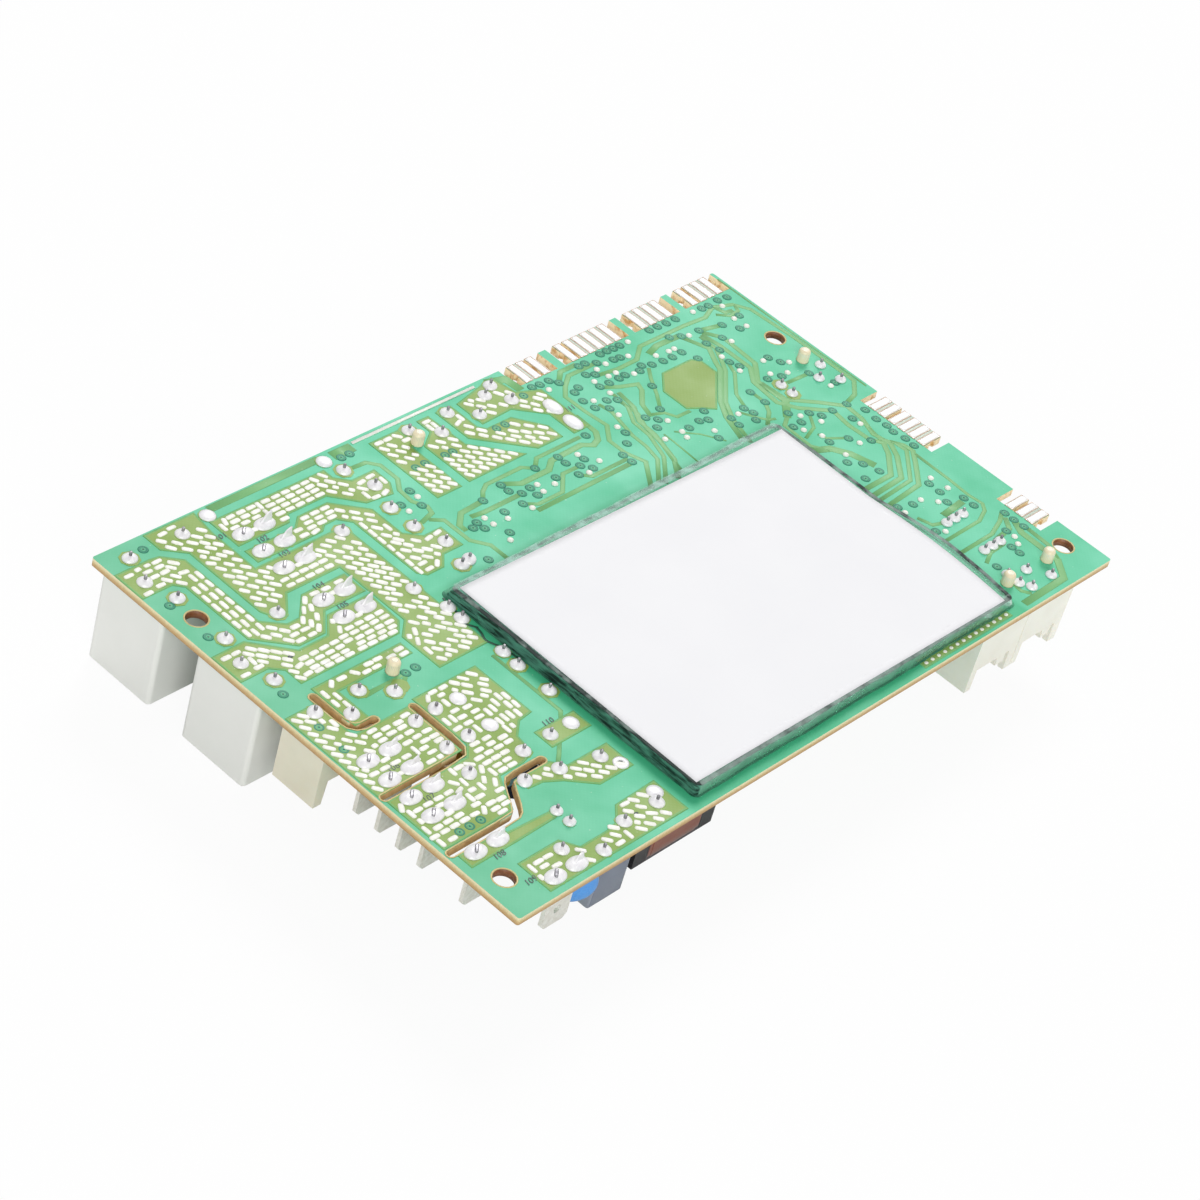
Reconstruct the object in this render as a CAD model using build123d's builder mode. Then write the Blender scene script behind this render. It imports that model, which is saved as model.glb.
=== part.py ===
from build123d import *
import os
from math import atan2, cos, degrees, hypot, pi, radians, sin

os.makedirs("parts", exist_ok=True)

# Oven power board, lying with its solder side up and its components hanging below.
# Millimetres. X runs along the board from left to right, Y from front to rear, +Z is up.
# The origin is on the surface that the tallest components stand on, below the board's middle.
# Places on the board are given as distances from its left edge and from its front edge.

# ---- Board ---------------------------------------------------------------------------
board_length = 165.0
board_width = 103.5
board_thickness = 1.6
board_corner_radius = 0.5
copper_thickness = 0.07

mounting_hole_diameter = 4.0
mounting_inset_left = 4.7
mounting_inset_right = 5.2
mounting_row_front = 7.9
mounting_row_spacing = 74.0

isolation_slot_width = 1.45

# ---- Edge contacts -------------------------------------------------------------------
contact_pitch = 2.5
contact_width = 1.65
contact_length = 5.5
contact_end_margin = 1.0
contact_copper_clearance = 0.3
notch_width = 2.0
nick_radius = 0.7
nick_side_count = 6
coding_slit_width = 0.6

# ---- Cover and label -----------------------------------------------------------------
cover_left = 45.9
cover_front = 2.3
cover_right_inset = 27.7
cover_rear_inset = 40.0
cover_height = 2.4
cover_wall = 0.35
cover_corner_radius = 1.2
cover_bulge = 1.6
cover_bulge_share = 0.55
label_end_margin = 2.3
label_side_margin = 2.15
label_shift_left = 1.0
label_shift_front = 1.1
label_thickness = 0.12
label_tilt = -0.9
label_corner_radius = 1.0

# ---- Relays --------------------------------------------------------------------------
relay_length = 21.0
relay_width = 15.8
relay_height = 20.1
relay_wall = 0.9
relay_edge_radius = 0.9
relay_base_thickness = 1.5
relay_foot_height = 0.3
relay_fit = 0.1
relay_vent_radius = 1.1
relay_vent_depth = 0.4
relay_vent_inset = 3.2
relay_foot_size = 1.6
relay_foot_inset_along = 1.5
relay_foot_inset_across = 4.0

# ---- Blade tabs ----------------------------------------------------------------------
tab_width = 6.3
tab_thickness = 0.8
tab_drop = 10.6
tab_tip_chamfer = 0.9
tab_hole_diameter = 1.7
tab_hole_drop = 7.1
tab_leg_spacing = 5.5
tab_leg_width = 1.0
tab_shoulder_height = 1.8
tab_leg_clearance = 0.08

# ---- Connector headers ---------------------------------------------------------------
header_base = 2.0
header_wall = 1.2
header_end_wall = 1.9
header_end_draft = 0.9
header_low_wall = 5.8
header_height = 10.9
header_width = 9.9
peg_diameter = 2.4
peg_rise = 2.6
peg_clearance = 0.1
peg_tip_chamfer = 0.6
power_pitch = 5.1
signal_pitch = 2.65
contact_blade_thickness = 0.8
contact_blade_width = 2.6
contact_blade_length = 6.5
contact_tail_stagger = 3.6
contact_blade_depth = 6.3
contact_tip_share = 0.2
signal_blade_width = 0.8

front_header_right_inset = 10.7
front_header_length = 28.6
front_header_setback = 0.3
front_header_width = 9.3
front_header_height = 13.2
front_header_window = 9.0
front_header_window_drop = 8.4
front_header_window_inset = 0.6
front_header_tongue_width = 2.6
front_header_tongue_drop = 10.4
front_header_groove = 0.3
front_peg_pitch = 12.6
front_peg_inset = 0.9
front_peg_setback = 7.2
front_contact_first = 4.2
front_contact_pitch = 3.1
front_contact_setback = 6.6
front_tail_setback_near = 3.5
front_tail_setback_far = 7.2

# ---- Components below the board ------------------------------------------------------
film_capacitor_length = 18.0
film_capacitor_width = 8.8
film_capacitor_height = 15.0
film_capacitor_pitch = 15.0
film_capacitor_lead_shift = 0.9
film_capacitor_edge_radius = 0.5
film_capacitor_wall = 1.2
film_capacitor_resin_drop = 0.5
varistor_diameter = 8.6
varistor_thickness = 3.2
disc_capacitor_diameter = 8.4
disc_capacitor_thickness = 3.4
thermistor_diameter = 5.0
thermistor_thickness = 2.4
disc_standoff = 1.2
disc_edge_chamfer = 0.8
lead_diameter = 0.8

core_length = 13.8
core_width = 16.0
core_height = 10.9
core_leg = 3.4
core_window_height = 1.9
core_window_width = 11.0
core_standoff = 0.2
core_fit = 0.1
bobbin_wall = 0.5
bobbin_flange = 0.9
bobbin_overhang = 3.4
bobbin_rail_height = 1.6
transformer_pin_inset = 1.9
winding_inset = 0.8
winding_corner_radius = 1.2

bulk_can_diameter = 16.0
bulk_can_height = 20.0
output_can_diameter = 10.0
output_can_height = 20.0
small_can_diameter = 8.0
small_can_height = 12.0
can_groove_depth = 0.45
can_groove_drop = 2.4
can_edge_radius = 0.6

resistor_diameter = 4.2
resistor_length = 9.0
diode_diameter = 2.7
diode_length = 5.2
axial_standoff = 0.5
optocoupler_length = 7.3
optocoupler_width = 6.5
optocoupler_height = 3.5
optocoupler_row_spacing = 9.4
optocoupler_standoff = 0.3
optocoupler_edge_chamfer = 0.35
optocoupler_lead_width = 1.2
optocoupler_lead_tip_width = 0.6
optocoupler_lead_thickness = 0.3
chip_side = 10.0
chip_thickness = 1.4
chip_lead_pitch = 0.8
chip_lead_count = 11
chip_lead_width = 0.35
chip_lead_reach = 1.0
chip_lead_thickness = 0.3
chip_standoff = 0.15
chip_edge_chamfer = 0.3
regulator_width = 10.0
regulator_height = 15.0
regulator_thickness = 4.4
regulator_tab_thickness = 1.3
regulator_body_height = 9.2
regulator_standoff = 4.0
regulator_hole_diameter = 3.6
regulator_hole_inset = 2.8
regulator_lead_pitch = 2.54
regulator_lead_width = 0.9
regulator_lead_thickness = 0.6
crystal_length = 11.0
crystal_width = 4.6
crystal_height = 3.5
crystal_edge_chamfer = 0.5

# ---- Solder joints -------------------------------------------------------------------
joint_height = 1.05
joint_top_radius = 0.6
joint_side_count = 6
pad_side_count = 8
lead_end_width = 0.7
lead_end_rise = 1.7
power_joint_radius = 1.7
joint_radius = 1.45
small_joint_radius = 1.05
fin_width = 1.9
fin_thickness = 0.45
fin_rise = 2.3
fin_turn = 25.0
fin_lean = 1.0
fin_seat_radius = 1.0
fin_seat_height = 0.5
pad_margin = 0.3

# ---- Levels --------------------------------------------------------------------------
# The board lies level on whatever hangs lowest, and everything else is hung from it.
board_bottom = max(relay_height, bulk_can_height, output_can_height, film_capacitor_height)
board_top = board_bottom + board_thickness
deck = board_top + copper_thickness


def at(x, y):
    """Place x from the left edge and y from the front edge, in the part's frame."""
    return (x - board_length / 2, y - board_width / 2)


def turned(point, turn):
    """A point turned about the origin by an angle in degrees."""
    c, s = cos(radians(turn)), sin(radians(turn))
    return (point[0] * c - point[1] * s, point[0] * s + point[1] * c)


def moved(point, offset):
    """A point shifted by an offset."""
    return (point[0] + offset[0], point[1] + offset[1])


# ---- Places --------------------------------------------------------------------------
mounting_holes = [
    at(x, mounting_row_front + row * mounting_row_spacing)
    for x in (mounting_inset_left, board_length - mounting_inset_right)
    for row in (0, 1)
]

isolation_slots = [
    [(8.0, 56.4), (8.0, 48.5), (9.5, 46.7), (13.0, 46.7)],
    [(20.9, 45.2), (20.9, 34.0), (19.5, 32.3), (1.2, 32.3)],
    [(30.2, 23.7), (22.3, 23.7), (21.2, 22.6), (18.0, 17.6), (16.5, 16.8), (1.2, 16.8)],
]

# Groups of edge contacts: place of the first contact, from the right end on the rear edge
# and from the front on the right edge, the number of contacts, and how many of them stand
# before the group's coding slit (0 for no slit).
rear_group_insets = [60.1, 47.0, 26.65, 11.4]
rear_group_contact_counts = [3, 6, 4, 4]
rear_group_slit_counts = [2, 1, 0, 1]
right_group_starts = [16.3, 43.7]
right_group_contact_counts = [3, 6]
right_group_slit_counts = [2, 4]
rear_contact_groups = [
    (board_length - inset, count, before_slit)
    for inset, count, before_slit in zip(
        rear_group_insets, rear_group_contact_counts, rear_group_slit_counts
    )
]
right_contact_groups = list(
    zip(right_group_starts, right_group_contact_counts, right_group_slit_counts)
)

# Relay centres and turns. Pins are given for a relay that isn't turned: the contact arm,
# the two coil ends and the switched contact.
relays = [(11.5, 93.6, 0), (11.5, 69.3, 0), (48.5, 91.3, 180), (48.5, 73.1, 180)]
relay_pins = [(-8.2, 0.0), (-6.2, -6.1), (-6.2, 6.1), (6.0, 6.1)]

left_tab_x = 7.65
inner_tab_x = 29.3
blade_tabs = (
    [(left_tab_x, y) for y in (40.0, 34.8, 29.8, 24.7, 14.7)]
    + [(14.75, 3.2)]
    + [(inner_tab_x, y) for y in (94.0, 88.8, 83.5, 73.5, 68.3)]
)
tab_legs = [(x + side * tab_leg_spacing / 2, y) for x, y in blade_tabs for side in (-1, 1)]

# Power headers: corner nearest the board's front left corner, number of contacts, distance
# of the first contact and of the tails from that corner, and the peg's offset from it.
left_header_place = (0.1, 45.2)
left_header_contact_count = 4
left_header_first = 5.4
left_header_tail_depth = 8.2
left_header_peg_offset = (24.0, 8.5)
rear_header_left = 69.3
rear_header_inset = 0.2
rear_header_contact_count = 5
rear_header_first = 4.2
rear_header_tail_depth = 6.0
rear_header_peg_offset = (3.1, 2.7)
rear_header_place = (rear_header_left, board_width - rear_header_inset - header_width)

# Signal header at the right edge.
right_header_inset = 0.3
right_header_front = 63.2
right_header_contact_count = 3
right_header_first = 2.5
right_header_length = 12.6
right_header_tail_depth = 6.3
right_header_blade_depth = 7.1
right_header_peg_offset = (4.3, 10.9)

film_capacitor_place = (30.3, 13.0)
varistor_leads = [(17.4, 7.0), (23.2, 2.8)]
disc_capacitor_leads = [
    [(18.8, 42.5), (23.8, 42.6)],
    [(18.8, 35.0), (23.8, 35.0)],
]
thermistor_leads = [(23.2, 13.7), (23.2, 10.7)]
transformer_place = (46.15, 12.0)
transformer_pin_rows = 6.6
resistor_leads = [(17.5, 28.3), (29.0, 27.0)]
bulk_can_place = (44.0, 38.9)
bulk_can_pitch = 7.6
small_can_right_inset = 16.3
small_cans = [(44.3, 58.5, 90), (board_length - small_can_right_inset, 69.4, 90)]
small_can_pitch = 3.4
output_can_rear_inset = 16.15
output_cans = [(103.0, board_width - output_can_rear_inset, 90), (68.0, 22.0, 0)]
output_can_pitch = 5.2
optocoupler_right_inset = 17.9
optocoupler_place = (board_length - optocoupler_right_inset, 20.35)
optocoupler_pitch = 2.54
chip_place = (108.0, 36.0)
regulator_place = (70.0, 44.0)
crystal_place = (124.0, 44.0)
diode_leads = [[(61.0, 8.0), (61.0, 18.0)], [(61.0, 24.0), (61.0, 34.0)]]

# Joints of small parts and wire links, and rings of bare pads left without a part.
rear_link_inset = 2.5
inner_link_inset = 7.7
right_link_inset = 22.2
right_link_step = 0.1
link_joints = [
    (24.0, 22.0), (36.0, 27.2), (44.3, 46.6), (22.7, 50.3),
    (97.0, board_width - rear_link_inset), (97.5, board_width - inner_link_inset),
]
small_link_joints = [
    (board_length - right_link_inset, 8.7),
    (board_length - right_link_inset + right_link_step, 5.9),
]
bare_pads = [
    (24.7, 101.2), (53.3, 101.2), (28.8, 42.3), (28.8, 34.7), (41.2, 27.2), (41.0, 7.3),
    (41.3, 15.5),
]

# Copper areas of the solder side, as outlines.
copper_areas = [
    [(0.3, 97.6), (8.0, 97.6), (10.0, 97.3), (13.2, 94.3), (13.2, 75.5), (17.0, 72.3),
     (20.0, 72.3), (24.5, 76.5), (34.7, 76.5), (34.7, 71.5), (25.0, 71.5), (21.0, 67.3),
     (15.0, 67.3), (8.7, 73.3), (8.7, 89.0), (7.0, 90.7), (0.3, 90.7)],
    [(11.5, 102.9), (23.0, 102.9), (22.2, 97.0), (22.2, 86.0), (43.7, 86.0), (43.7, 50.0),
     (32.0, 50.0), (32.0, 59.0), (35.5, 62.0), (35.5, 78.5), (22.5, 78.5), (18.5, 74.0),
     (17.0, 74.0), (15.3, 77.3), (15.3, 95.3), (11.5, 98.7)],
    [(24.0, 92.2), (36.0, 92.2), (37.5, 94.0), (47.0, 94.0), (52.0, 88.7), (58.0, 88.0),
     (59.7, 90.5), (59.7, 94.5), (54.0, 94.5), (51.5, 97.0), (51.5, 99.3), (24.0, 99.5)],
    [(24.0, 87.2), (39.5, 87.2), (41.0, 88.3), (44.0, 88.3), (46.2, 86.0), (46.2, 69.8),
     (47.5, 68.5), (51.5, 68.5), (54.0, 71.0), (58.8, 71.0), (58.8, 76.3), (54.5, 76.3),
     (51.5, 79.0), (51.5, 86.7), (45.7, 92.3), (38.5, 92.3), (36.0, 90.3), (24.0, 90.3)],
    [(0.3, 73.0), (7.5, 73.0), (14.0, 66.3), (21.0, 66.3), (24.7, 70.2), (34.7, 70.2),
     (34.3, 62.5), (32.0, 60.2), (8.8, 60.2), (8.8, 64.0), (6.5, 66.0), (0.3, 66.0)],
    [(9.3, 47.6), (12.5, 47.6), (12.5, 55.3), (30.3, 55.3), (30.3, 58.0), (9.3, 58.0)],
    [(0.5, 33.2), (20.1, 33.2), (20.1, 45.7), (7.1, 45.7), (7.1, 55.0), (0.5, 55.0)],
    [(22.2, 46.6), (37.3, 46.6), (37.3, 33.2), (34.0, 32.8), (30.8, 30.2), (30.2, 26.0),
     (27.0, 25.2), (21.3, 25.2), (19.5, 22.5), (17.0, 18.2), (1.0, 18.2), (1.0, 31.2),
     (19.8, 31.2), (22.2, 33.5)],
    [(2.0, 12.7), (12.5, 12.7), (22.0, 12.9), (22.0, 14.2), (12.5, 14.8), (12.5, 15.7),
     (2.0, 15.7)],
    [(23.0, 22.7), (31.0, 22.6), (33.0, 20.2), (42.7, 20.2), (42.7, 14.1), (34.5, 14.1),
     (29.8, 18.2), (26.5, 20.0), (23.3, 20.3)],
    [(9.0, 1.5), (9.0, 8.7), (18.5, 8.7), (20.5, 5.5), (27.0, 5.5), (30.0, 6.0),
     (33.0, 8.9), (42.8, 9.2), (42.8, 1.5)],
    [(64.5, 82.8), (70.5, 82.8), (70.5, 95.5), (71.8, 96.5), (71.8, 100.5), (64.5, 100.5)],
    [(73.0, 83.0), (88.0, 83.0), (80.0, 91.0), (79.7, 100.5), (77.0, 100.5), (77.0, 97.0),
     (73.0, 94.5)],
    [(82.0, 100.5), (85.7, 100.5), (85.7, 93.5), (87.0, 92.0), (93.5, 92.0), (98.0, 86.5),
     (98.0, 83.0), (91.5, 83.0), (82.0, 92.0)],
    [(87.5, 100.3), (99.0, 102.6), (100.0, 97.0), (105.0, 95.0), (105.0, 82.5),
     (101.0, 82.5), (101.0, 89.0), (95.5, 94.0), (87.5, 93.7)],
    [(126.2, 76.0), (126.2, 82.0), (130.3, 86.0), (138.7, 86.0), (140.2, 84.5),
     (140.2, 80.7), (131.3, 72.8), (129.0, 74.5)],
    [(34.2, 25.0), (43.7, 25.0), (43.7, 29.0), (34.2, 29.0)],
    [(108.0, 0.9), (134.0, 0.9), (134.0, 3.3), (108.0, 3.3)],
]


def power_tails(place, contact_count, first, depth):
    """Solder tails of a power header, stepped to and fro behind its row of contacts."""
    return [
        (place[0] + first + i * power_pitch, place[1] + depth - (i % 2) * contact_tail_stagger)
        for i in range(contact_count)
    ]


left_header_length = 2 * left_header_first + (left_header_contact_count - 1) * power_pitch
rear_header_length = 2 * rear_header_first + (rear_header_contact_count - 1) * power_pitch
right_header_left = board_length - right_header_inset - header_width
left_header_tails = power_tails(
    left_header_place, left_header_contact_count, left_header_first, left_header_tail_depth
)
rear_header_tails = power_tails(
    rear_header_place, rear_header_contact_count, rear_header_first, rear_header_tail_depth
)
right_header_tails = [
    (
        right_header_left + right_header_tail_depth - (i % 2) * contact_tail_stagger,
        right_header_front + right_header_first + i * signal_pitch,
    )
    for i in range(right_header_contact_count)
]
left_header_peg = moved(left_header_place, left_header_peg_offset)
rear_header_peg = moved(rear_header_place, rear_header_peg_offset)
right_header_peg = moved((right_header_left, right_header_front), right_header_peg_offset)

front_header_right = board_length - front_header_right_inset
front_header_left = front_header_right - front_header_length
front_pegs = [
    (front_header_right - front_peg_inset - i * front_peg_pitch, front_peg_setback)
    for i in (0, 1)
]
front_socket_pitch = front_header_length / 2
front_contact_offsets = [
    front_socket_pitch * socket + front_contact_first + i * front_contact_pitch
    for socket in (0, 1)
    for i in (0, 1, 2)
]
front_tail_setbacks = (
    front_tail_setback_near, front_tail_setback_far, front_tail_setback_near
) * 2
front_header_tails = [
    (front_header_left + offset, front_header_setback + setback)
    for offset, setback in zip(front_contact_offsets, front_tail_setbacks)
]

pegs = [left_header_peg, rear_header_peg, right_header_peg] + front_pegs


def can_leads(place, pitch):
    """The two leads of an upright can, along the direction that its place gives."""
    x, y, turn = place
    return [moved((x, y), turned((side * pitch / 2, 0), turn)) for side in (-1, 1)]


relay_leads = [
    moved((x, y), turned(pin, turn)) for x, y, turn in relays for pin in relay_pins
]
film_capacitor_leads = [
    moved(film_capacitor_place, (film_capacitor_lead_shift, side * film_capacitor_pitch / 2))
    for side in (-1, 1)
]
bulk_can_leads = can_leads((*bulk_can_place, 90), bulk_can_pitch)
small_can_leads = [p for can in small_cans for p in can_leads(can, small_can_pitch)]
output_can_leads = [p for can in output_cans for p in can_leads(can, output_can_pitch)]
optocoupler_leads = [
    moved(optocoupler_place, (i * optocoupler_pitch, side * optocoupler_row_spacing / 2))
    for i in (-1, 0, 1)
    for side in (-1, 1)
]
transformer_pin_reach = core_length / 2 + bobbin_overhang / 2 - transformer_pin_inset
transformer_leads = [
    moved(transformer_place, (side * transformer_pin_reach, row))
    for side in (-1, 1)
    for row in (-transformer_pin_rows, transformer_pin_rows)
]

tab_round_joints = tab_legs[0::2]
tab_fin_joints = tab_legs[1::2]
power_joints = relay_leads + left_header_tails + rear_header_tails + bulk_can_leads
plain_joints = (
    varistor_leads + disc_capacitor_leads[0] + disc_capacitor_leads[1] + resistor_leads
    + film_capacitor_leads + transformer_leads + output_can_leads + small_can_leads
    + link_joints
)
small_joints = (
    thermistor_leads + optocoupler_leads + front_header_tails + right_header_tails
    + small_link_joints
)


# ---- Board pieces --------------------------------------------------------------------
def group_cuts(first, count, before_slit):
    """Cuts of one contact group along its edge, as (centre, width, side of the nick)."""
    last = first + (count - 1) * contact_pitch
    reach = contact_end_margin + notch_width / 2
    cuts = [(first - reach, notch_width, 1), (last + reach, notch_width, -1)]
    if before_slit:
        cuts.append((first + (before_slit - 0.5) * contact_pitch, coding_slit_width, 0))
    return cuts


def cut_board_outline():
    """Cuts every hole, slot and notch of the board out of the sketch being drawn."""
    with Locations(*mounting_holes):
        Circle(mounting_hole_diameter / 2, mode=Mode.SUBTRACT)
    with Locations(*[at(*p) for p in pegs]):
        Circle(peg_diameter / 2 + peg_clearance, mode=Mode.SUBTRACT)
    for path in isolation_slots:
        for (x0, y0), (x1, y1) in zip(path, path[1:]):
            run = hypot(x1 - x0, y1 - y0)
            with Locations(at((x0 + x1) / 2, (y0 + y1) / 2)):
                SlotCenterToCenter(
                    run, isolation_slot_width,
                    rotation=degrees(atan2(y1 - y0, x1 - x0)), mode=Mode.SUBTRACT,
                )
    for group in rear_contact_groups:
        for centre, width, side in group_cuts(*group):
            with Locations(at(centre, board_width - contact_length / 2)):
                Rectangle(width, contact_length, mode=Mode.SUBTRACT)
            if side:
                nick = at(centre + side * width / 2, board_width - contact_length / 2)
                with Locations(nick):
                    RegularPolygon(nick_radius, nick_side_count, mode=Mode.SUBTRACT)
    for group in right_contact_groups:
        for centre, width, side in group_cuts(*group):
            with Locations(at(board_length - contact_length / 2, centre)):
                Rectangle(contact_length, width, mode=Mode.SUBTRACT)
            if side:
                nick = at(board_length - contact_length / 2, centre + side * width / 2)
                with Locations(nick):
                    RegularPolygon(nick_radius, nick_side_count, mode=Mode.SUBTRACT)


def cut_contact_clearance():
    """Keeps the wide copper clear of every contact group, in the sketch being drawn."""
    depth = contact_length + contact_copper_clearance
    reach = 2 * (contact_end_margin + notch_width)
    for first, count, _ in rear_contact_groups:
        span = (count - 1) * contact_pitch
        with Locations(at(first + span / 2, board_width - depth / 2)):
            Rectangle(span + reach, depth, mode=Mode.SUBTRACT)
    for first, count, _ in right_contact_groups:
        span = (count - 1) * contact_pitch
        with Locations(at(board_length - depth / 2, first + span / 2)):
            Rectangle(depth, span + reach, mode=Mode.SUBTRACT)


with BuildPart() as circuit_board:
    with BuildSketch(Plane.XY.offset(board_bottom)) as board_sketch:
        Rectangle(board_length, board_width)
        fillet(board_sketch.vertices(), board_corner_radius)
        cut_board_outline()
        with Locations(*[at(*leg) for leg in tab_legs]):
            Rectangle(
                tab_leg_width + 2 * tab_leg_clearance, tab_thickness + 2 * tab_leg_clearance,
                mode=Mode.SUBTRACT,
            )
    extrude(amount=board_thickness)

# Copper of the solder side: the wide areas and the pads under the joints outside them.
with BuildPart() as copper_areas_part:
    with BuildSketch(Plane.XY.offset(board_top)):
        for area in copper_areas:
            with BuildLine():
                Polyline(*[at(*p) for p in area], close=True)
            make_face()
        for radius, points in (
            (power_joint_radius + pad_margin, tab_round_joints + tab_fin_joints + power_joints),
            (joint_radius + pad_margin, plain_joints + bare_pads),
            (small_joint_radius + pad_margin / 2, small_joints),
        ):
            with Locations(*[at(*p) for p in points]):
                RegularPolygon(radius, pad_side_count)
        cut_board_outline()
        cut_contact_clearance()
    extrude(amount=copper_thickness)

# Tinned contacts on the solder side of the rear and right edges.
with BuildPart() as contact_fingers:
    with BuildSketch(Plane.XY.offset(board_top)):
        for first, count, _ in rear_contact_groups:
            for i in range(count):
                with Locations(
                    at(first + i * contact_pitch, board_width - contact_length / 2)
                ):
                    Rectangle(contact_width, contact_length)
        for first, count, _ in right_contact_groups:
            for i in range(count):
                with Locations(
                    at(board_length - contact_length / 2, first + i * contact_pitch)
                ):
                    Rectangle(contact_length, contact_width)
    extrude(amount=copper_thickness)



# ---- Solder joints -------------------------------------------------------------------
def taper_between(low_radius, high_radius, height):
    """Draft in degrees that narrows a joint from one radius to the other."""
    apothem_share = cos(pi / joint_side_count)
    return degrees(atan2((low_radius - high_radius) * apothem_share, height))


# Solder cones with the cut ends of the leads. The right leg of each blade tab is bent
# over, so a leaning fin stands out of its solder.
with BuildPart() as solder_joints:
    for radius, points in (
        (power_joint_radius, power_joints + tab_round_joints),
        (joint_radius, plain_joints),
        (small_joint_radius, small_joints),
    ):
        with BuildSketch(Plane.XY.offset(deck)):
            with Locations(*[at(*p) for p in points]):
                RegularPolygon(radius, joint_side_count)
        extrude(amount=joint_height, taper=taper_between(radius, joint_top_radius, joint_height))
        with BuildSketch(Plane.XY.offset(deck)):
            with Locations(*[at(*p) for p in points]):
                Rectangle(lead_end_width, lead_end_width)
        extrude(amount=lead_end_rise)
    with BuildSketch(Plane.XY.offset(deck)):
        with Locations(*[at(*p) for p in tab_fin_joints]):
            RegularPolygon(power_joint_radius, joint_side_count)
    extrude(
        amount=fin_seat_height,
        taper=taper_between(power_joint_radius, fin_seat_radius, fin_seat_height),
    )
    lean_x, lean_y = turned((fin_lean, 0), fin_turn)
    with BuildSketch(Plane.XY.offset(deck)):
        with Locations(*[Location(at(*p), fin_turn) for p in tab_fin_joints]):
            Rectangle(fin_width, fin_thickness)
    extrude(amount=hypot(fin_lean, fin_rise), dir=(lean_x, lean_y, fin_rise))


# ---- Cover and label -----------------------------------------------------------------
cover_length = board_length - cover_left - cover_right_inset
cover_width = board_width - cover_front - cover_rear_inset
label_length = cover_length - 2 * label_end_margin
label_width = cover_width - 2 * label_side_margin

# Clear cover over the low-voltage half: a thin tray, open towards the board, whose right
# wall bows outwards in its front half.
with BuildPart() as clear_cover:
    cover_x0, cover_y0 = at(cover_left, cover_front)
    cover_x1, cover_y1 = cover_x0 + cover_length, cover_y0 + cover_width
    bulge_end = cover_y0 + cover_width * cover_bulge_share
    with BuildSketch(Plane.XY.offset(deck)) as cover_sketch:
        with BuildLine():
            Polyline(
                (cover_x1, bulge_end), (cover_x1, cover_y1), (cover_x0, cover_y1),
                (cover_x0, cover_y0), (cover_x1, cover_y0),
            )
            ThreePointArc(
                (cover_x1, cover_y0),
                (cover_x1 + cover_bulge, (cover_y0 + bulge_end) / 2),
                (cover_x1, bulge_end),
            )
        make_face()
        fillet(cover_sketch.vertices().group_by(Axis.X)[0], cover_corner_radius)
    extrude(amount=cover_height)
    offset(amount=-cover_wall, openings=clear_cover.faces().sort_by(Axis.Z)[0])

# Blank paper label on the cover, set slightly askew.
with BuildPart() as label:
    label_centre = at(
        cover_left + cover_length / 2 - label_shift_left,
        cover_front + cover_width / 2 - label_shift_front,
    )
    with BuildSketch(Plane.XY.offset(deck + cover_height)) as label_sketch:
        with Locations(Location(label_centre, label_tilt)):
            RectangleRounded(label_length, label_width, label_corner_radius)
    extrude(amount=label_thickness)


# ---- Relays --------------------------------------------------------------------------
def make_relay_case(x, y):
    """Deep drawn-looking case, open towards the board, with a round vent in its floor."""
    with BuildPart() as case:
        with BuildSketch(Plane.XY.offset(board_bottom)):
            with Locations(at(x, y)):
                RectangleRounded(relay_length, relay_width, relay_edge_radius)
        extrude(amount=-relay_height)
        chamfer(case.faces().sort_by(Axis.Z)[0].edges(), relay_edge_radius / 2)
        with BuildSketch(Plane.XY.offset(board_bottom)):
            with Locations(at(x, y)):
                Rectangle(relay_length - 2 * relay_wall, relay_width - 2 * relay_wall)
        extrude(amount=-(relay_base_thickness + relay_foot_height), mode=Mode.SUBTRACT)
        with BuildSketch(Plane.XY.offset(board_bottom - relay_height)):
            vent = (relay_length / 2 - relay_vent_inset, relay_width / 2 - relay_vent_inset)
            with Locations(moved(at(x, y), vent)):
                Circle(relay_vent_radius)
        extrude(amount=relay_vent_depth, mode=Mode.SUBTRACT)
    return case.part


def make_relay_base(x, y, turn):
    """Base plate set in the case's mouth, on four feet that meet the board."""
    with BuildPart() as base:
        with BuildSketch(Plane.XY.offset(board_bottom - relay_foot_height)):
            with Locations(at(x, y)):
                Rectangle(
                    relay_length - 2 * (relay_wall + relay_fit),
                    relay_width - 2 * (relay_wall + relay_fit),
                )
        extrude(amount=-relay_base_thickness)
        with BuildSketch(Plane.XY.offset(board_bottom - relay_foot_height)):
            with Locations(at(x, y)):
                with GridLocations(
                    relay_length - 2 * (relay_wall + relay_foot_inset_along),
                    relay_width - 2 * (relay_wall + relay_foot_inset_across),
                    2, 2,
                ):
                    Rectangle(relay_foot_size, relay_foot_size)
        extrude(amount=relay_foot_height)
    return base.part


relay_cases = [make_relay_case(x, y) for x, y, turn in relays]
relay_bases = [make_relay_base(x, y, turn) for x, y, turn in relays]


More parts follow.
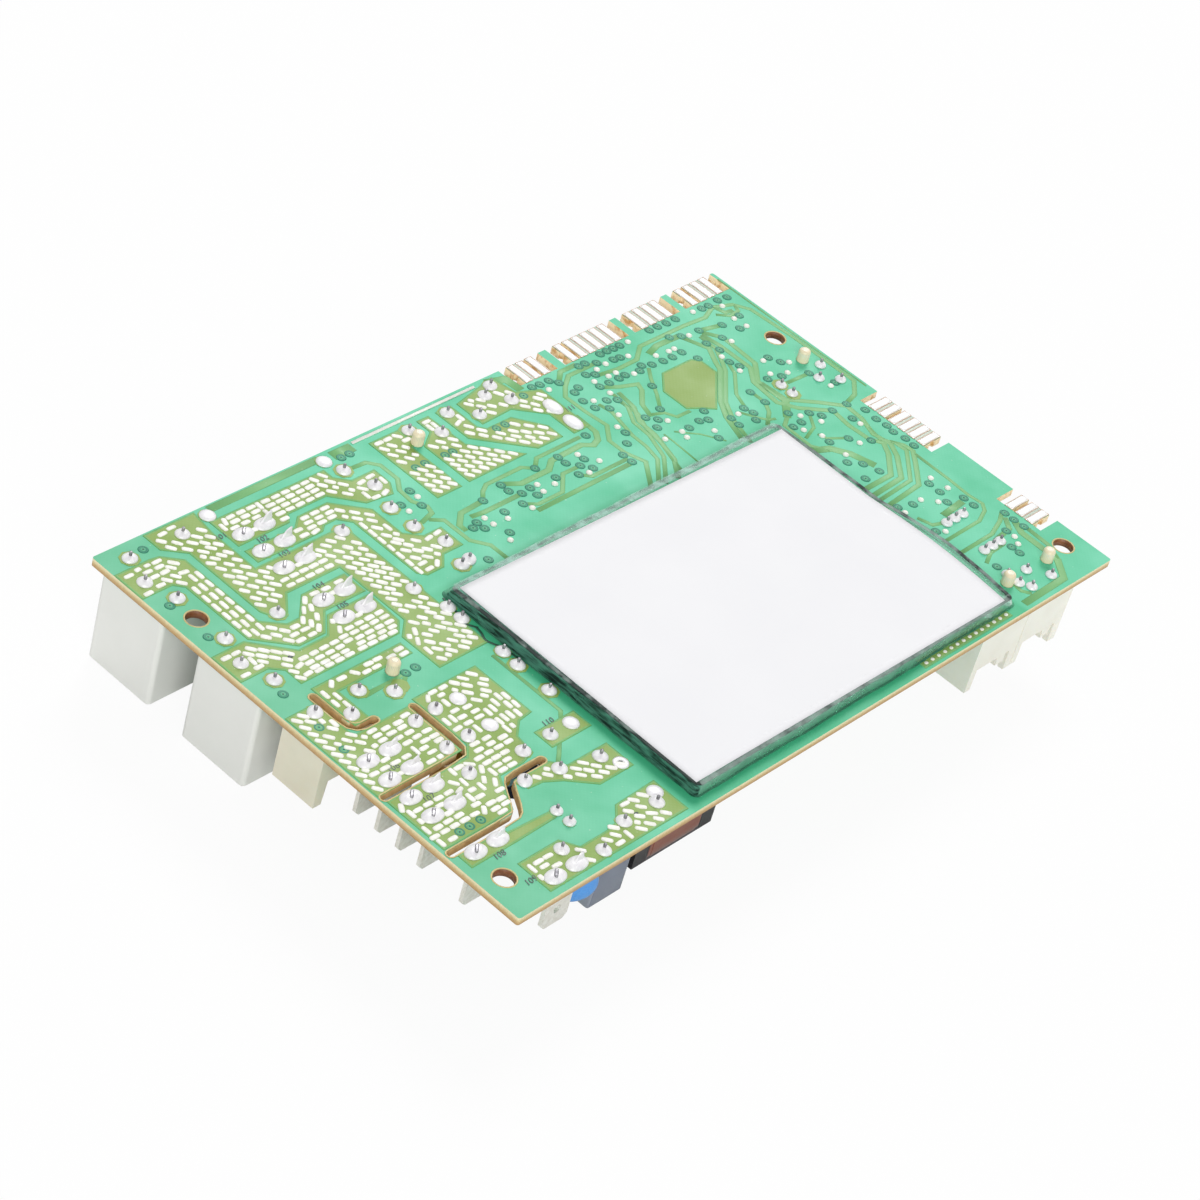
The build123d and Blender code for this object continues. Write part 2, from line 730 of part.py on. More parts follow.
# ---- Blade tabs ----------------------------------------------------------------------
def make_blade_tab(x, y):
    """Push-on blade with a lead-in at its tip, a latch hole, and two legs in the board."""
    cx, cy = at(x, y)
    with BuildPart() as tab:
        with BuildSketch(Plane.XZ.offset(-cy)) as outline:
            with Locations((cx, board_bottom - tab_drop / 2)):
                Rectangle(tab_width, tab_drop)
            chamfer(outline.vertices().group_by(Axis.Y)[0], tab_tip_chamfer)
            with Locations((cx, board_bottom - tab_shoulder_height / 2)):
                Rectangle(tab_leg_spacing + tab_leg_width, tab_shoulder_height)
            with Locations((cx, board_bottom - tab_hole_drop)):
                Circle(tab_hole_diameter / 2, mode=Mode.SUBTRACT)
            for side in (-1, 1):
                leg_x = cx + side * tab_leg_spacing / 2
                with Locations((leg_x, board_bottom + board_thickness / 2)):
                    Rectangle(tab_leg_width, board_thickness)
        extrude(amount=tab_thickness / 2, both=True)
    return tab.part


tab_parts = [make_blade_tab(x, y) for x, y in blade_tabs]


# ---- Connector headers ---------------------------------------------------------------
def make_peg(place):
    """Location peg of a header: through the board, with a lead-in where it stands out."""
    x, y = at(*place)
    bottom = board_bottom - header_base / 2
    with BuildPart() as peg:
        with BuildSketch(Plane.XY.offset(bottom)):
            with Locations((x, y)):
                Circle(peg_diameter / 2)
        extrude(amount=deck + peg_rise - bottom)
        chamfer(peg.faces().sort_by(Axis.Z)[-1].edges(), peg_tip_chamfer)
    return peg.part


def make_power_header(place, length, peg, high_side):
    """Header open downwards: thick tapering end walls, one high side and one low side."""
    x0, y0 = at(*place)
    peg_part = make_peg(peg)
    with BuildPart() as header:
        with BuildSketch(Plane.XY.offset(board_bottom)):
            with Locations((x0 + length / 2, y0 + header_width / 2)):
                Rectangle(length, header_width)
        extrude(amount=-header_base)
        for end in (0, 1):
            wall_x = x0 + end * length
            inward = 1 - 2 * end
            with BuildSketch(Plane.XZ.offset(-(y0 + header_width))):
                with BuildLine():
                    Polyline(
                        (wall_x, board_bottom),
                        (wall_x, board_bottom - header_height),
                        (wall_x + inward * header_end_wall, board_bottom - header_height),
                        (wall_x + inward * (header_end_wall + header_end_draft),
                         board_bottom - header_base),
                        (wall_x + inward * (header_end_wall + header_end_draft), board_bottom),
                        close=True,
                    )
                make_face()
            extrude(amount=header_width)
        for side, height in ((high_side, header_height), (-high_side, header_low_wall)):
            wall_y = y0 + header_width / 2 + side * (header_width - header_wall) / 2
            with BuildSketch(Plane.XY.offset(board_bottom)):
                with Locations((x0 + length / 2, wall_y)):
                    Rectangle(length, header_wall)
            extrude(amount=-height)
        add(peg_part)
    return header.part


def make_blades(points, width, along_x, length):
    """Flat contacts that hang below a header's base, one for each place."""
    with BuildPart() as blades:
        with BuildSketch(Plane.XY.offset(board_bottom - header_base)):
            with Locations(*[at(*p) for p in points]):
                if along_x:
                    Rectangle(width, contact_blade_thickness)
                else:
                    Rectangle(contact_blade_thickness, width)
        extrude(amount=-length)
        tips = blades.faces().sort_by(Axis.Z)[: len(points)]
        tip_edges = tips.edges().filter_by(Axis.Y if along_x else Axis.X)
        chamfer(tip_edges, width * contact_tip_share)
    return blades.part


left_header = make_power_header(left_header_place, left_header_length, left_header_peg, 1)
left_header_contacts = make_blades(
    [
        (left_header_place[0] + left_header_first + i * power_pitch,
         left_header_place[1] + contact_blade_depth)
        for i in range(left_header_contact_count)
    ],
    contact_blade_width, True, contact_blade_length,
)
rear_header = make_power_header(rear_header_place, rear_header_length, rear_header_peg, -1)
rear_header_contacts = make_blades(
    [
        (rear_header_place[0] + rear_header_first + i * power_pitch,
         rear_header_place[1] + header_width - contact_blade_depth)
        for i in range(rear_header_contact_count)
    ],
    contact_blade_width, True, contact_blade_length,
)

# Three-way signal header at the right edge, a plain box open downwards.
right_peg_part = make_peg(right_header_peg)
with BuildPart() as right_header:
    rx, ry = at(right_header_left, right_header_front)
    with BuildSketch(Plane.XY.offset(board_bottom)):
        with Locations((rx + header_width / 2, ry + right_header_length / 2)):
            Rectangle(header_width, right_header_length)
    extrude(amount=-header_height)
    with BuildSketch(Plane.XY.offset(board_bottom - header_base)):
        with Locations((rx + header_width / 2, ry + right_header_length / 2)):
            Rectangle(header_width - 2 * header_wall, right_header_length - 2 * header_wall)
    extrude(amount=-header_height, mode=Mode.SUBTRACT)
    add(right_peg_part)

right_header_contacts = make_blades(
    [
        (right_header_left + right_header_blade_depth,
         right_header_front + right_header_first + i * signal_pitch)
        for i in range(right_header_contact_count)
    ],
    signal_blade_width, False, contact_blade_length,
)

# Double header at the front edge: two sockets side by side in one moulding, each with a
# latch window in its front wall and a latch tongue in the window.
front_peg_parts = [make_peg(peg) for peg in front_pegs]
with BuildPart() as front_header:
    fx, fy = at(front_header_left, front_header_setback)
    socket_length = front_socket_pitch - 2 * header_wall
    socket_width = front_header_width - 2 * header_wall
    with BuildSketch(Plane.XY.offset(board_bottom)):
        with Locations((fx + front_header_length / 2, fy + front_header_width / 2)):
            Rectangle(front_header_length, front_header_width)
    extrude(amount=-front_header_height)
    for socket in (0, 1):
        middle = fx + (socket + 0.5) * front_socket_pitch
        with BuildSketch(Plane.XY.offset(board_bottom - header_base)):
            with Locations((middle, fy + front_header_width / 2)):
                Rectangle(socket_length, socket_width)
        extrude(amount=-front_header_height, mode=Mode.SUBTRACT)
        window_left = middle - socket_length / 2 + front_header_window_inset
        with BuildSketch(Plane.XZ.offset(-fy)):
            with Locations(
                (window_left + front_header_window / 2 + front_header_window_inset,
                 board_bottom - front_header_window_drop - front_header_height / 2)
            ):
                Rectangle(
                    front_header_window + 2 * front_header_window_inset, front_header_height
                )
        extrude(amount=-header_wall, mode=Mode.SUBTRACT)
        with BuildSketch(Plane.XZ.offset(-fy)):
            with Locations(
                (window_left + front_header_window - front_header_tongue_width / 2,
                 board_bottom - front_header_tongue_drop / 2)
            ):
                Rectangle(front_header_tongue_width, front_header_tongue_drop)
        extrude(amount=-header_wall)
    with BuildSketch(Plane.XY.offset(board_bottom)):
        with Locations((fx + front_header_length / 2, fy + front_header_groove / 2)):
            Rectangle(front_header_groove, front_header_groove)
    extrude(amount=-front_header_height, mode=Mode.SUBTRACT)
    add(front_peg_parts)

front_header_contacts = make_blades(
    [
        (front_header_left + offset, front_header_setback + front_contact_setback)
        for offset in front_contact_offsets
    ],
    signal_blade_width, True, contact_blade_length,
)


# ---- Upright parts -------------------------------------------------------------------
with BuildPart() as film_capacitor:
    with BuildSketch(Plane.XY.offset(board_bottom)):
        with Locations(at(*film_capacitor_place)):
            Rectangle(film_capacitor_width, film_capacitor_length)
    extrude(amount=-film_capacitor_height)
    fillet(film_capacitor.edges().filter_by(Axis.Z), film_capacitor_edge_radius)
    with BuildSketch(Plane.XY.offset(board_bottom)):
        with Locations(at(*film_capacitor_place)):
            Rectangle(
                film_capacitor_width - 2 * film_capacitor_wall,
                film_capacitor_length - 2 * film_capacitor_wall,
            )
    extrude(amount=-film_capacitor_resin_drop, mode=Mode.SUBTRACT)


def make_disc(leads, diameter, thickness):
    """Lacquered disc on two wires, standing on edge along the line of its leads."""
    (x0, y0), (x1, y1) = [at(*p) for p in leads]
    run = hypot(x1 - x0, y1 - y0)
    along = ((x1 - x0) / run, (y1 - y0) / run)
    middle = ((x0 + x1) / 2, (y0 + y1) / 2)
    drop = disc_standoff + diameter / 2
    with BuildPart() as disc:
        with BuildSketch(
            Plane(
                origin=(middle[0], middle[1], board_bottom - drop),
                x_dir=(along[0], along[1], 0),
                z_dir=(along[1], -along[0], 0),
            )
        ):
            Circle(diameter / 2)
        extrude(amount=thickness / 2, both=True)
        chamfer(disc.edges().filter_by(GeomType.CIRCLE), disc_edge_chamfer)
        reach = min(run / 2, diameter / 2 - lead_diameter)
        turn = degrees(atan2(along[1], along[0]))
        with BuildSketch(Plane.XY.offset(board_bottom)):
            with Locations(Location(middle, turn)):
                with GridLocations(2 * reach, 1, 2, 1):
                    Rectangle(lead_diameter, lead_diameter)
        extrude(amount=-drop)
    return disc.part


varistor = make_disc(varistor_leads, varistor_diameter, varistor_thickness)
disc_capacitors = [
    make_disc(leads, disc_capacitor_diameter, disc_capacitor_thickness)
    for leads in disc_capacitor_leads
]
thermistor = make_disc(thermistor_leads, thermistor_diameter, thermistor_thickness)


def make_can(place, diameter, height):
    """Upright electrolytic can: crimp groove near its mouth, rounded at the far end."""
    x, y = at(place[0], place[1])
    r = diameter / 2
    bottom, groove = board_bottom - height, board_bottom - can_groove_drop
    with BuildPart() as can:
        with BuildSketch(Plane(origin=(x, y, 0), x_dir=(1, 0, 0), z_dir=(0, -1, 0))):
            with BuildLine():
                Polyline(
                    (0, board_bottom), (0, bottom), (r - can_edge_radius, bottom),
                    (r, bottom + can_edge_radius), (r, groove - can_groove_depth * 1.6),
                    (r - can_groove_depth, groove), (r, groove + can_groove_depth * 1.6),
                    (r, board_bottom), close=True,
                )
            make_face()
        revolve(axis=Axis((x, y, 0), (0, 0, 1)))
    return can.part


bulk_capacitor = make_can(bulk_can_place, bulk_can_diameter, bulk_can_height)
output_capacitors = [make_can(c, output_can_diameter, output_can_height) for c in output_cans]
small_capacitors = [make_can(c, small_can_diameter, small_can_height) for c in small_cans]


def make_axial(leads, diameter, length):
    """Axial part lying along its leads, with its wires bent up into the board."""
    (x0, y0), (x1, y1) = [at(*p) for p in leads]
    run = hypot(x1 - x0, y1 - y0)
    along = ((x1 - x0) / run, (y1 - y0) / run)
    drop = axial_standoff + diameter / 2
    middle = ((x0 + x1) / 2, (y0 + y1) / 2, board_bottom - drop)
    side_plane = Plane(origin=middle, x_dir=(*along, 0), z_dir=(along[1], -along[0], 0))
    end_plane = Plane(origin=middle, z_dir=(*along, 0))
    with BuildPart() as axial:
        with BuildSketch(side_plane):
            Rectangle(run + lead_diameter, lead_diameter)
            with Locations((0, drop / 2)):
                with GridLocations(run, 1, 2, 1):
                    Rectangle(lead_diameter, drop)
        extrude(amount=lead_diameter / 2, both=True)
        with BuildSketch(end_plane):
            Circle(diameter / 2)
        extrude(amount=length / 2, both=True)
    return axial.part


power_resistor = make_axial(resistor_leads, resistor_diameter, resistor_length)
rectifier_diodes = [make_axial(leads, diode_diameter, diode_length) for leads in diode_leads]

# ---- Transformer ---------------------------------------------------------------------
tx, ty = at(*transformer_place)
core_middle = board_bottom - core_height / 2 - core_standoff

# Two E-shaped ferrite halves closed on each other: a block with two windows along X.
with BuildPart() as transformer_core:
    with BuildSketch(Plane.YZ.offset(tx - core_length / 2)):
        with Locations((ty, core_middle)):
            Rectangle(core_width, core_height)
            for side in (-1, 1):
                with Locations((0, side * (core_leg + core_window_height) / 2)):
                    Rectangle(core_window_width, core_window_height, mode=Mode.SUBTRACT)
    extrude(amount=core_length)

# Bobbin round the middle leg: a tube with two flanges in the windows, four corner posts
# beside the core and two pin rails against the board.
tube_length = core_window_width - 2 * core_fit
tube_span = (core_length + 2 * core_fit, core_leg + 2 * core_fit)
flange_height = core_leg + 2 * (core_window_height - core_fit)
post_width = (core_width - core_window_width) / 2 + bobbin_flange + core_fit
with BuildPart() as transformer_bobbin:
    with BuildSketch(Plane.XZ.offset(-(ty + tube_length / 2))):
        with Locations((tx, core_middle)):
            Rectangle(tube_span[0] + 2 * bobbin_wall, tube_span[1] + 2 * bobbin_wall)
            Rectangle(*tube_span, mode=Mode.SUBTRACT)
    extrude(amount=tube_length)
    for side in (-1, 1):
        with BuildSketch(Plane.XZ.offset(-(ty + side * tube_length / 2))):
            with Locations((tx, core_middle)):
                Rectangle(core_length + 2 * bobbin_overhang, flange_height)
                Rectangle(*tube_span, mode=Mode.SUBTRACT)
        extrude(amount=side * bobbin_flange)
        rail_x = tx + side * (core_length / 2 + core_fit + bobbin_overhang / 2)
        with BuildSketch(Plane.XY.offset(board_bottom)):
            with Locations((rail_x, ty)):
                Rectangle(bobbin_overhang, core_width)
        extrude(amount=-bobbin_rail_height)
        with BuildSketch(Plane.XY.offset(board_bottom)):
            for end in (-1, 1):
                with Locations((rail_x, ty + end * (core_width - post_width) / 2)):
                    Rectangle(bobbin_overhang, post_width)
        extrude(amount=-(core_height + core_standoff))

# Winding under its tape: a flat ring round the bobbin's tube, bulging past the core.
with BuildPart() as transformer_winding:
    winding_length = tube_length - 2 * (bobbin_flange + core_fit)
    with BuildSketch(Plane.XZ.offset(-(ty + winding_length / 2))) as winding_sketch:
        with Locations((tx, core_middle)):
            Rectangle(core_length + 2 * (bobbin_overhang - winding_inset), flange_height)
        fillet(winding_sketch.vertices(), winding_corner_radius)
        with Locations((tx, core_middle)):
            Rectangle(
                tube_span[0] + 2 * (bobbin_wall + core_fit),
                tube_span[1] + 2 * (bobbin_wall + core_fit),
                mode=Mode.SUBTRACT,
            )
    extrude(amount=winding_length)


# ---- Small parts ---------------------------------------------------------------------
# Six-lead optocoupler: body with chamfered edges, leads bent down from its sides.
with BuildPart() as optocoupler:
    ox, oy = at(*optocoupler_place)
    body_top = board_bottom - optocoupler_standoff
    lead_drop = optocoupler_standoff + optocoupler_height / 2
    with BuildSketch(Plane.XY.offset(body_top)):
        with Locations((ox, oy)):
            Rectangle(optocoupler_length, optocoupler_width)
    extrude(amount=-optocoupler_height)
    chamfer(optocoupler.faces().sort_by(Axis.Z)[0].edges(), optocoupler_edge_chamfer)
    with BuildSketch(Plane.XY.offset(board_bottom - lead_drop)):
        with Locations((ox, oy)):
            with GridLocations(optocoupler_pitch, 1, 3, 1):
                Rectangle(
                    optocoupler_lead_width,
                    optocoupler_row_spacing + optocoupler_lead_thickness,
                )
    extrude(amount=optocoupler_lead_thickness)
    with BuildSketch(Plane.XY.offset(board_bottom)):
        with Locations(*[at(*p) for p in optocoupler_leads]):
            Rectangle(optocoupler_lead_tip_width, optocoupler_lead_thickness)
    extrude(amount=-lead_drop)

# Microcontroller: flat package with gull-wing leads on its four sides.
with BuildPart() as microcontroller:
    mx, my = at(*chip_place)
    with BuildSketch(Plane.XY.offset(board_bottom - chip_standoff)):
        with Locations((mx, my)):
            Rectangle(chip_side, chip_side)
    extrude(amount=-chip_thickness)
    chamfer(microcontroller.faces().sort_by(Axis.Z)[0].edges(), chip_edge_chamfer)
    with BuildSketch(Plane.XY.offset(board_bottom)):
        for turn in (0, 90, 180, 270):
            side_middle = moved((mx, my), turned((chip_side / 2, 0), turn))
            with Locations(Location(side_middle, turn)):
                with GridLocations(1, chip_lead_pitch, 1, chip_lead_count):
                    Rectangle(2 * chip_lead_reach, chip_lead_width)
    extrude(amount=-chip_lead_thickness)

# Voltage regulator standing upright, with its drilled metal tab behind the body.
with BuildPart() as regulator:
    vx, vy = at(*regulator_place)
    regulator_top = board_bottom - regulator_standoff
    with BuildSketch(Plane.XY.offset(regulator_top)):
        with Locations((vx, vy)):
            Rectangle(regulator_width, regulator_thickness)
    extrude(amount=-regulator_body_height)
    with BuildSketch(Plane.XZ.offset(-(vy + regulator_thickness / 2))):
        with Locations((vx, regulator_top - regulator_height / 2)):
            Rectangle(regulator_width, regulator_height)
            with Locations((0, regulator_hole_inset - regulator_height / 2)):
                Circle(regulator_hole_diameter / 2, mode=Mode.SUBTRACT)
    extrude(amount=regulator_tab_thickness)
    with BuildSketch(Plane.XY.offset(board_bottom)):
        with Locations((vx, vy)):
            with GridLocations(regulator_lead_pitch, 1, 3, 1):
                Rectangle(regulator_lead_width, regulator_lead_thickness)
    extrude(amount=-regulator_standoff)

# Crystal in its oval can.
with BuildPart() as crystal:
    with BuildSketch(Plane.XY.offset(board_bottom)):
        with Locations(at(*crystal_place)):
            SlotOverall(crystal_length, crystal_width)
    extrude(amount=-crystal_height)
    chamfer(crystal.faces().sort_by(Axis.Z)[0].edges(), crystal_edge_chamfer)

named_parts = {
    "circuit_board": circuit_board.part,
    "copper_areas": copper_areas_part.part,
    "contact_fingers": contact_fingers.part,
    "solder_joints": solder_joints.part,
    "clear_cover": clear_cover.part,
    "label": label.part,
    "left_header": left_header,
    "left_header_contacts": left_header_contacts,
    "rear_header": rear_header,
    "rear_header_contacts": rear_header_contacts,
    "right_header": right_header.part,
    "right_header_contacts": right_header_contacts,
    "front_header": front_header.part,
    "front_header_contacts": front_header_contacts,
    "film_capacitor": film_capacitor.part,
    "varistor": varistor,
    "thermistor": thermistor,
    "bulk_capacitor": bulk_capacitor,
    "power_resistor": power_resistor,
    "transformer_core": transformer_core.part,
    "transformer_bobbin": transformer_bobbin.part,
    "transformer_winding": transformer_winding.part,
    "optocoupler": optocoupler.part,
    "microcontroller": microcontroller.part,
    "voltage_regulator": regulator.part,
    "crystal": crystal.part,
}
for i, part in enumerate(relay_cases):
    named_parts[f"relay_case_{i + 1}"] = part
for i, part in enumerate(relay_bases):
    named_parts[f"relay_base_{i + 1}"] = part
for i, part in enumerate(tab_parts):
    named_parts[f"blade_tab_{i + 1}"] = part
for i, part in enumerate(disc_capacitors):
    named_parts[f"disc_capacitor_{i + 1}"] = part
for i, part in enumerate(output_capacitors):
    named_parts[f"output_capacitor_{i + 1}"] = part
for i, part in enumerate(small_capacitors):
    named_parts[f"small_capacitor_{i + 1}"] = part
for i, part in enumerate(rectifier_diodes):
    named_parts[f"rectifier_diode_{i + 1}"] = part

for name, part in named_parts.items():
    part.label = name
    export_step(part, f"parts/{name}.step")
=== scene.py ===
import bpy
import numpy as np
from mathutils import Matrix, Vector


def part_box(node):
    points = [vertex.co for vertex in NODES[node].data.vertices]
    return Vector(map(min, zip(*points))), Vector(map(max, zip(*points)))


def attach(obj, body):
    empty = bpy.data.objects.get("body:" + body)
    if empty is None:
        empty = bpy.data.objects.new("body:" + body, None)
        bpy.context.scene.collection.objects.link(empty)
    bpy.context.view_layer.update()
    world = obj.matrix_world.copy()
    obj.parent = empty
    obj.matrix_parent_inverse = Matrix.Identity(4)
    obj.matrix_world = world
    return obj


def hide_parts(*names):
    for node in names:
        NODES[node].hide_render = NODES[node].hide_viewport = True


bl_info = {
    "name": "Oven Power Board",
    "version": (1, 0, 0),
    "blender": (4, 5, 0),
    "location": "View3D > Sidebar > Oven Board",
    "description": "Dresses an oven's power board: tinned copper, solder, cover, label and parts",
    "category": "Add Mesh",
}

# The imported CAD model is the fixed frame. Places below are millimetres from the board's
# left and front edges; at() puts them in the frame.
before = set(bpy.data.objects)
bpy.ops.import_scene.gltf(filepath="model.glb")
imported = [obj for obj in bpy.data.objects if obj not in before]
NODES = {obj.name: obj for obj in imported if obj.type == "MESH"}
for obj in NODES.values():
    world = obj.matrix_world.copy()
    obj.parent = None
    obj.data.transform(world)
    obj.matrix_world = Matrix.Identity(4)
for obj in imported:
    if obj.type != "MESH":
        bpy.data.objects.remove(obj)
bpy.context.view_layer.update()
MM = 0.001
CORNER = np.array(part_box("circuit_board")[0])
BOARD_UNDER = CORNER[2] / MM
BOARD_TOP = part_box("circuit_board")[1][2] / MM
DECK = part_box("copper_areas")[1][2] / MM
BOARD_LONG, BOARD_WIDE = 165.0, 103.5
UP = np.array([0.0, 0.0, 1.0])


# ---- Numpy surfaces ------------------------------------------------------------------
def at(places):
    """Adds the board's corner to (..., 3) places in mm and gives metres in the frame."""
    return np.asarray(places, float) * MM + np.array([CORNER[0], CORNER[1], 0.0])


def unit_rows(vectors):
    """Vectors (..., n) divided by their lengths: v / |v|."""
    return vectors / np.linalg.norm(vectors, axis=-1, keepdims=True)


def left_of(way):
    """The left normal (-y, x) of each direction (x, y)."""
    return np.stack([-way[:, 1], way[:, 0]], -1)


def raised(flat, height):
    """Places (..., 2) with a height that broadcasts to (..., 1) as their third part."""
    return np.concatenate([flat, np.broadcast_to(height, flat.shape[:-1] + (1,))], -1)


def oval(count, power=2.0):
    """Unit superellipse at even angles: |x|^power + |y|^power = 1, counterclockwise."""
    turn = np.linspace(0.0, 2 * np.pi, count, endpoint=False)
    c, s = np.cos(turn), np.sin(turn)
    return np.stack([np.sign(c) * np.abs(c) ** (2 / power),
                     np.sign(s) * np.abs(s) ** (2 / power)], axis=-1)


def rotated(points, degrees):
    """Turns (..., 2) points about the origin by angles in degrees that broadcast."""
    turn = np.radians(degrees)
    c, s = np.cos(turn), np.sin(turn)
    x, y = points[..., 0], points[..., 1]
    return np.stack([x * c - y * s, x * s + y * c], axis=-1)


def stack(rings, closed=False):
    """Bodies from rings of points (bodies, rings, points, 3), counterclockwise seen from the
    last ring: quads join neighbouring rings, and one face covers each end unless the rings
    close on themselves."""
    rings = np.asarray(rings, float)
    if rings.ndim == 3:
        rings = rings[None]
    bodies, count, points, _ = rings.shape
    index = np.arange(bodies * count * points).reshape(bodies, count, points)
    low, high = (index, np.roll(index, -1, axis=1)) if closed else (index[:, :-1], index[:, 1:])
    sides = np.stack([low, np.roll(low, -1, 2), np.roll(high, -1, 2), high], -1).reshape(-1, 4)
    return rings.reshape(-1, 3), [sides] if closed else [sides, index[:, 0, ::-1], index[:, -1]]


def slab(upper, lower):
    """A closed sheet between two grids (m, n, 3) whose rows run to the right and whose
    columns run to the rear: both grids as quads, and a strip of quads round their border."""
    m, n, _ = upper.shape
    top = np.arange(m * n).reshape(m, n)
    face = np.stack([top[:-1, :-1], top[:-1, 1:], top[1:, 1:], top[1:, :-1]], -1).reshape(-1, 4)
    rim = np.concatenate([top[0, :-1], top[:-1, -1], top[-1, :0:-1], top[:0:-1, 0]])
    low = rim + m * n
    border = np.stack([low, np.roll(low, -1), np.roll(rim, -1), rim], -1)
    points = np.concatenate([upper.reshape(-1, 3), lower.reshape(-1, 3)])
    return points, [face, (face + m * n)[:, ::-1], border]


def domes(places, length, width, angle, levels, base, count, power):
    """Low domes on the board: each ring is the outline drawn in by an even inset, so ring k
    is x = (length/2 - inset_k) u, y = (width/2 - inset_k) v, at height base + rise_k, for
    levels of (inset as a share of half the width, rise in mm)."""
    places = np.atleast_2d(np.asarray(places, float))
    length, width, angle = (
        np.broadcast_to(np.asarray(value, float), len(places))[:, None, None]
        for value in (length, width, angle))
    levels = np.asarray(levels, float)
    inset = levels[None, :, 0, None] * width / 2
    unit = oval(count, power)
    flat = np.stack([(length / 2 - inset) * unit[:, 0], (width / 2 - inset) * unit[:, 1]], -1)
    flat = rotated(flat, angle) + places[:, None, None, :]
    return stack(raised(flat, base + levels[:, 1, None, None]))


def turned_solid(place, profile, count):
    """Surface of revolution about an upright axis: profile of (radius, height) pairs from
    the lowest to the highest, point (r cos t, r sin t, z)."""
    profile = np.asarray(profile, float)
    ring = profile[:, None, 0, None] * oval(count)[None]
    return stack(raised(ring + np.asarray(place, float)[:2], profile[:, 1, None, None]))


def eased(path, rounds, closed=False):
    """Rounds a path's corners by cutting each one at a quarter of its two runs."""
    path = np.asarray(path, float)
    for _ in range(rounds):
        after = np.roll(path, -1, 0) if closed else path[1:]
        before = path if closed else path[:-1]
        cut = np.stack([0.75 * before + 0.25 * after, 0.25 * before + 0.75 * after], 1)
        cut = cut.reshape(-1, path.shape[1])
        path = cut if closed else np.concatenate([path[:1], cut, path[-1:]])
    return path


def ribbon(path, width, height, base, closed=False, rounds=0):
    """A low rounded track along a path on the board: the section (side, rise) is carried
    along it on the mitred left normal, side * normal + rise * up."""
    path = eased(path, rounds, closed)
    if closed:
        ahead, behind = np.roll(path, -1, 0) - path, path - np.roll(path, 1, 0)
    else:
        runs = np.diff(path, axis=0)
        ahead = np.concatenate([runs, runs[-1:]])
        behind = np.concatenate([runs[:1], runs])
    ahead, behind = unit_rows(ahead), unit_rows(behind)
    way = unit_rows(ahead + behind)
    mitre_limit = 0.6
    stretch = 1 / np.clip((way * ahead).sum(1, keepdims=True), mitre_limit, 1)
    section = np.array([[0.5, -0.1], [0.42, 0.86], [0.0, 1.0], [-0.42, 0.86], [-0.5, -0.1]])
    side = left_of(way)[:, None] * stretch[:, None] * section[None, :, :1] * width
    return stack(raised(path[:, None] + side, base + section[:, 1:] * height), closed)


def tube(path, radius, count):
    """Round wire along a path (n, 3): circles square to it, radius along two normals, with
    both ends drawn in to a smaller circle."""
    end_share = 0.7
    path = np.asarray(path, float)
    way = unit_rows(np.gradient(path, axis=0))
    spare = np.array([0.31, 0.52, 0.79])
    first = unit_rows(np.cross(way, np.cross(spare, way)))
    second = np.cross(way, first)
    radius = np.broadcast_to(np.asarray(radius, float), len(path)).copy()
    radius[[0, -1]] *= end_share
    unit = oval(count)
    return stack(path[:, None] + radius[:, None, None] * (
        unit[None, :, :1] * first[:, None] + unit[None, :, 1:] * second[:, None]))


def block(low, high, edge, draft=0.0):
    """A moulded block with eased edges: rounded-square rings, drawn in at its top and at its
    bottom by the edge radius, and narrowing towards the bottom by the draft."""
    low, high = np.asarray(low, float), np.asarray(high, float)
    half, middle = (high - low) / 2, (high + low) / 2
    corner = np.clip(edge / min(half[0], half[1]), 0.02, 0.9)
    share = np.array([1.0, 0.3, 0.0, 0.0, 0.3, 1.0])
    z = np.array([low[2], low[2] + 0.3 * edge, low[2] + edge, high[2] - edge,
                  high[2] - 0.3 * edge, high[2]])
    taper = draft * (high[2] - z) / (high[2] - low[2])
    reach = half[None, :2] - (edge * share + taper)[:, None]
    ring = reach[:, None, :] * oval(28, 2 + 1.2 / corner)[None] + middle[:2]
    return stack(raised(ring, z[:, None, None]))


def flat_lead(path, wide, across, thick):
    """A formed strip lead: a small rectangle carried along a path of three or more points,
    wide along the given direction."""
    path, wide = np.asarray(path, float), np.asarray(wide, float)
    second = np.cross(unit_rows(np.gradient(path, axis=0)), wide)
    corners = np.array([[0.5, -0.5], [0.5, 0.5], [-0.5, 0.5], [-0.5, -0.5]])
    return stack(path[:, None] + across * corners[None, :, :1] * wide
                 + thick * corners[None, :, 1:] * second[:, None])


def sections(middle, axis, first, steps, reaches, unit):
    """Rings square to an axis: middle + step * axis + reach * (u * first + v * second), with
    second = axis x first and reach a number or a (first, second) pair per step."""
    axis, first = np.asarray(axis, float), np.asarray(first, float)
    reaches = np.asarray(reaches, float)
    if reaches.ndim == 1:
        reaches = np.stack([reaches, reaches], -1)
    side = reaches[:, None, :1] * unit[None, :, :1] * first
    rise = reaches[:, None, 1:] * unit[None, :, 1:] * np.cross(axis, first)
    return np.asarray(middle) + np.asarray(steps, float)[:, None, None] * axis + side + rise


def box_of(node):
    """A CAD node's two box corners in mm from the board's corner."""
    shift = np.array([CORNER[0], CORNER[1], 0.0]) / MM
    return [np.array(corner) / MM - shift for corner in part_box(node)]


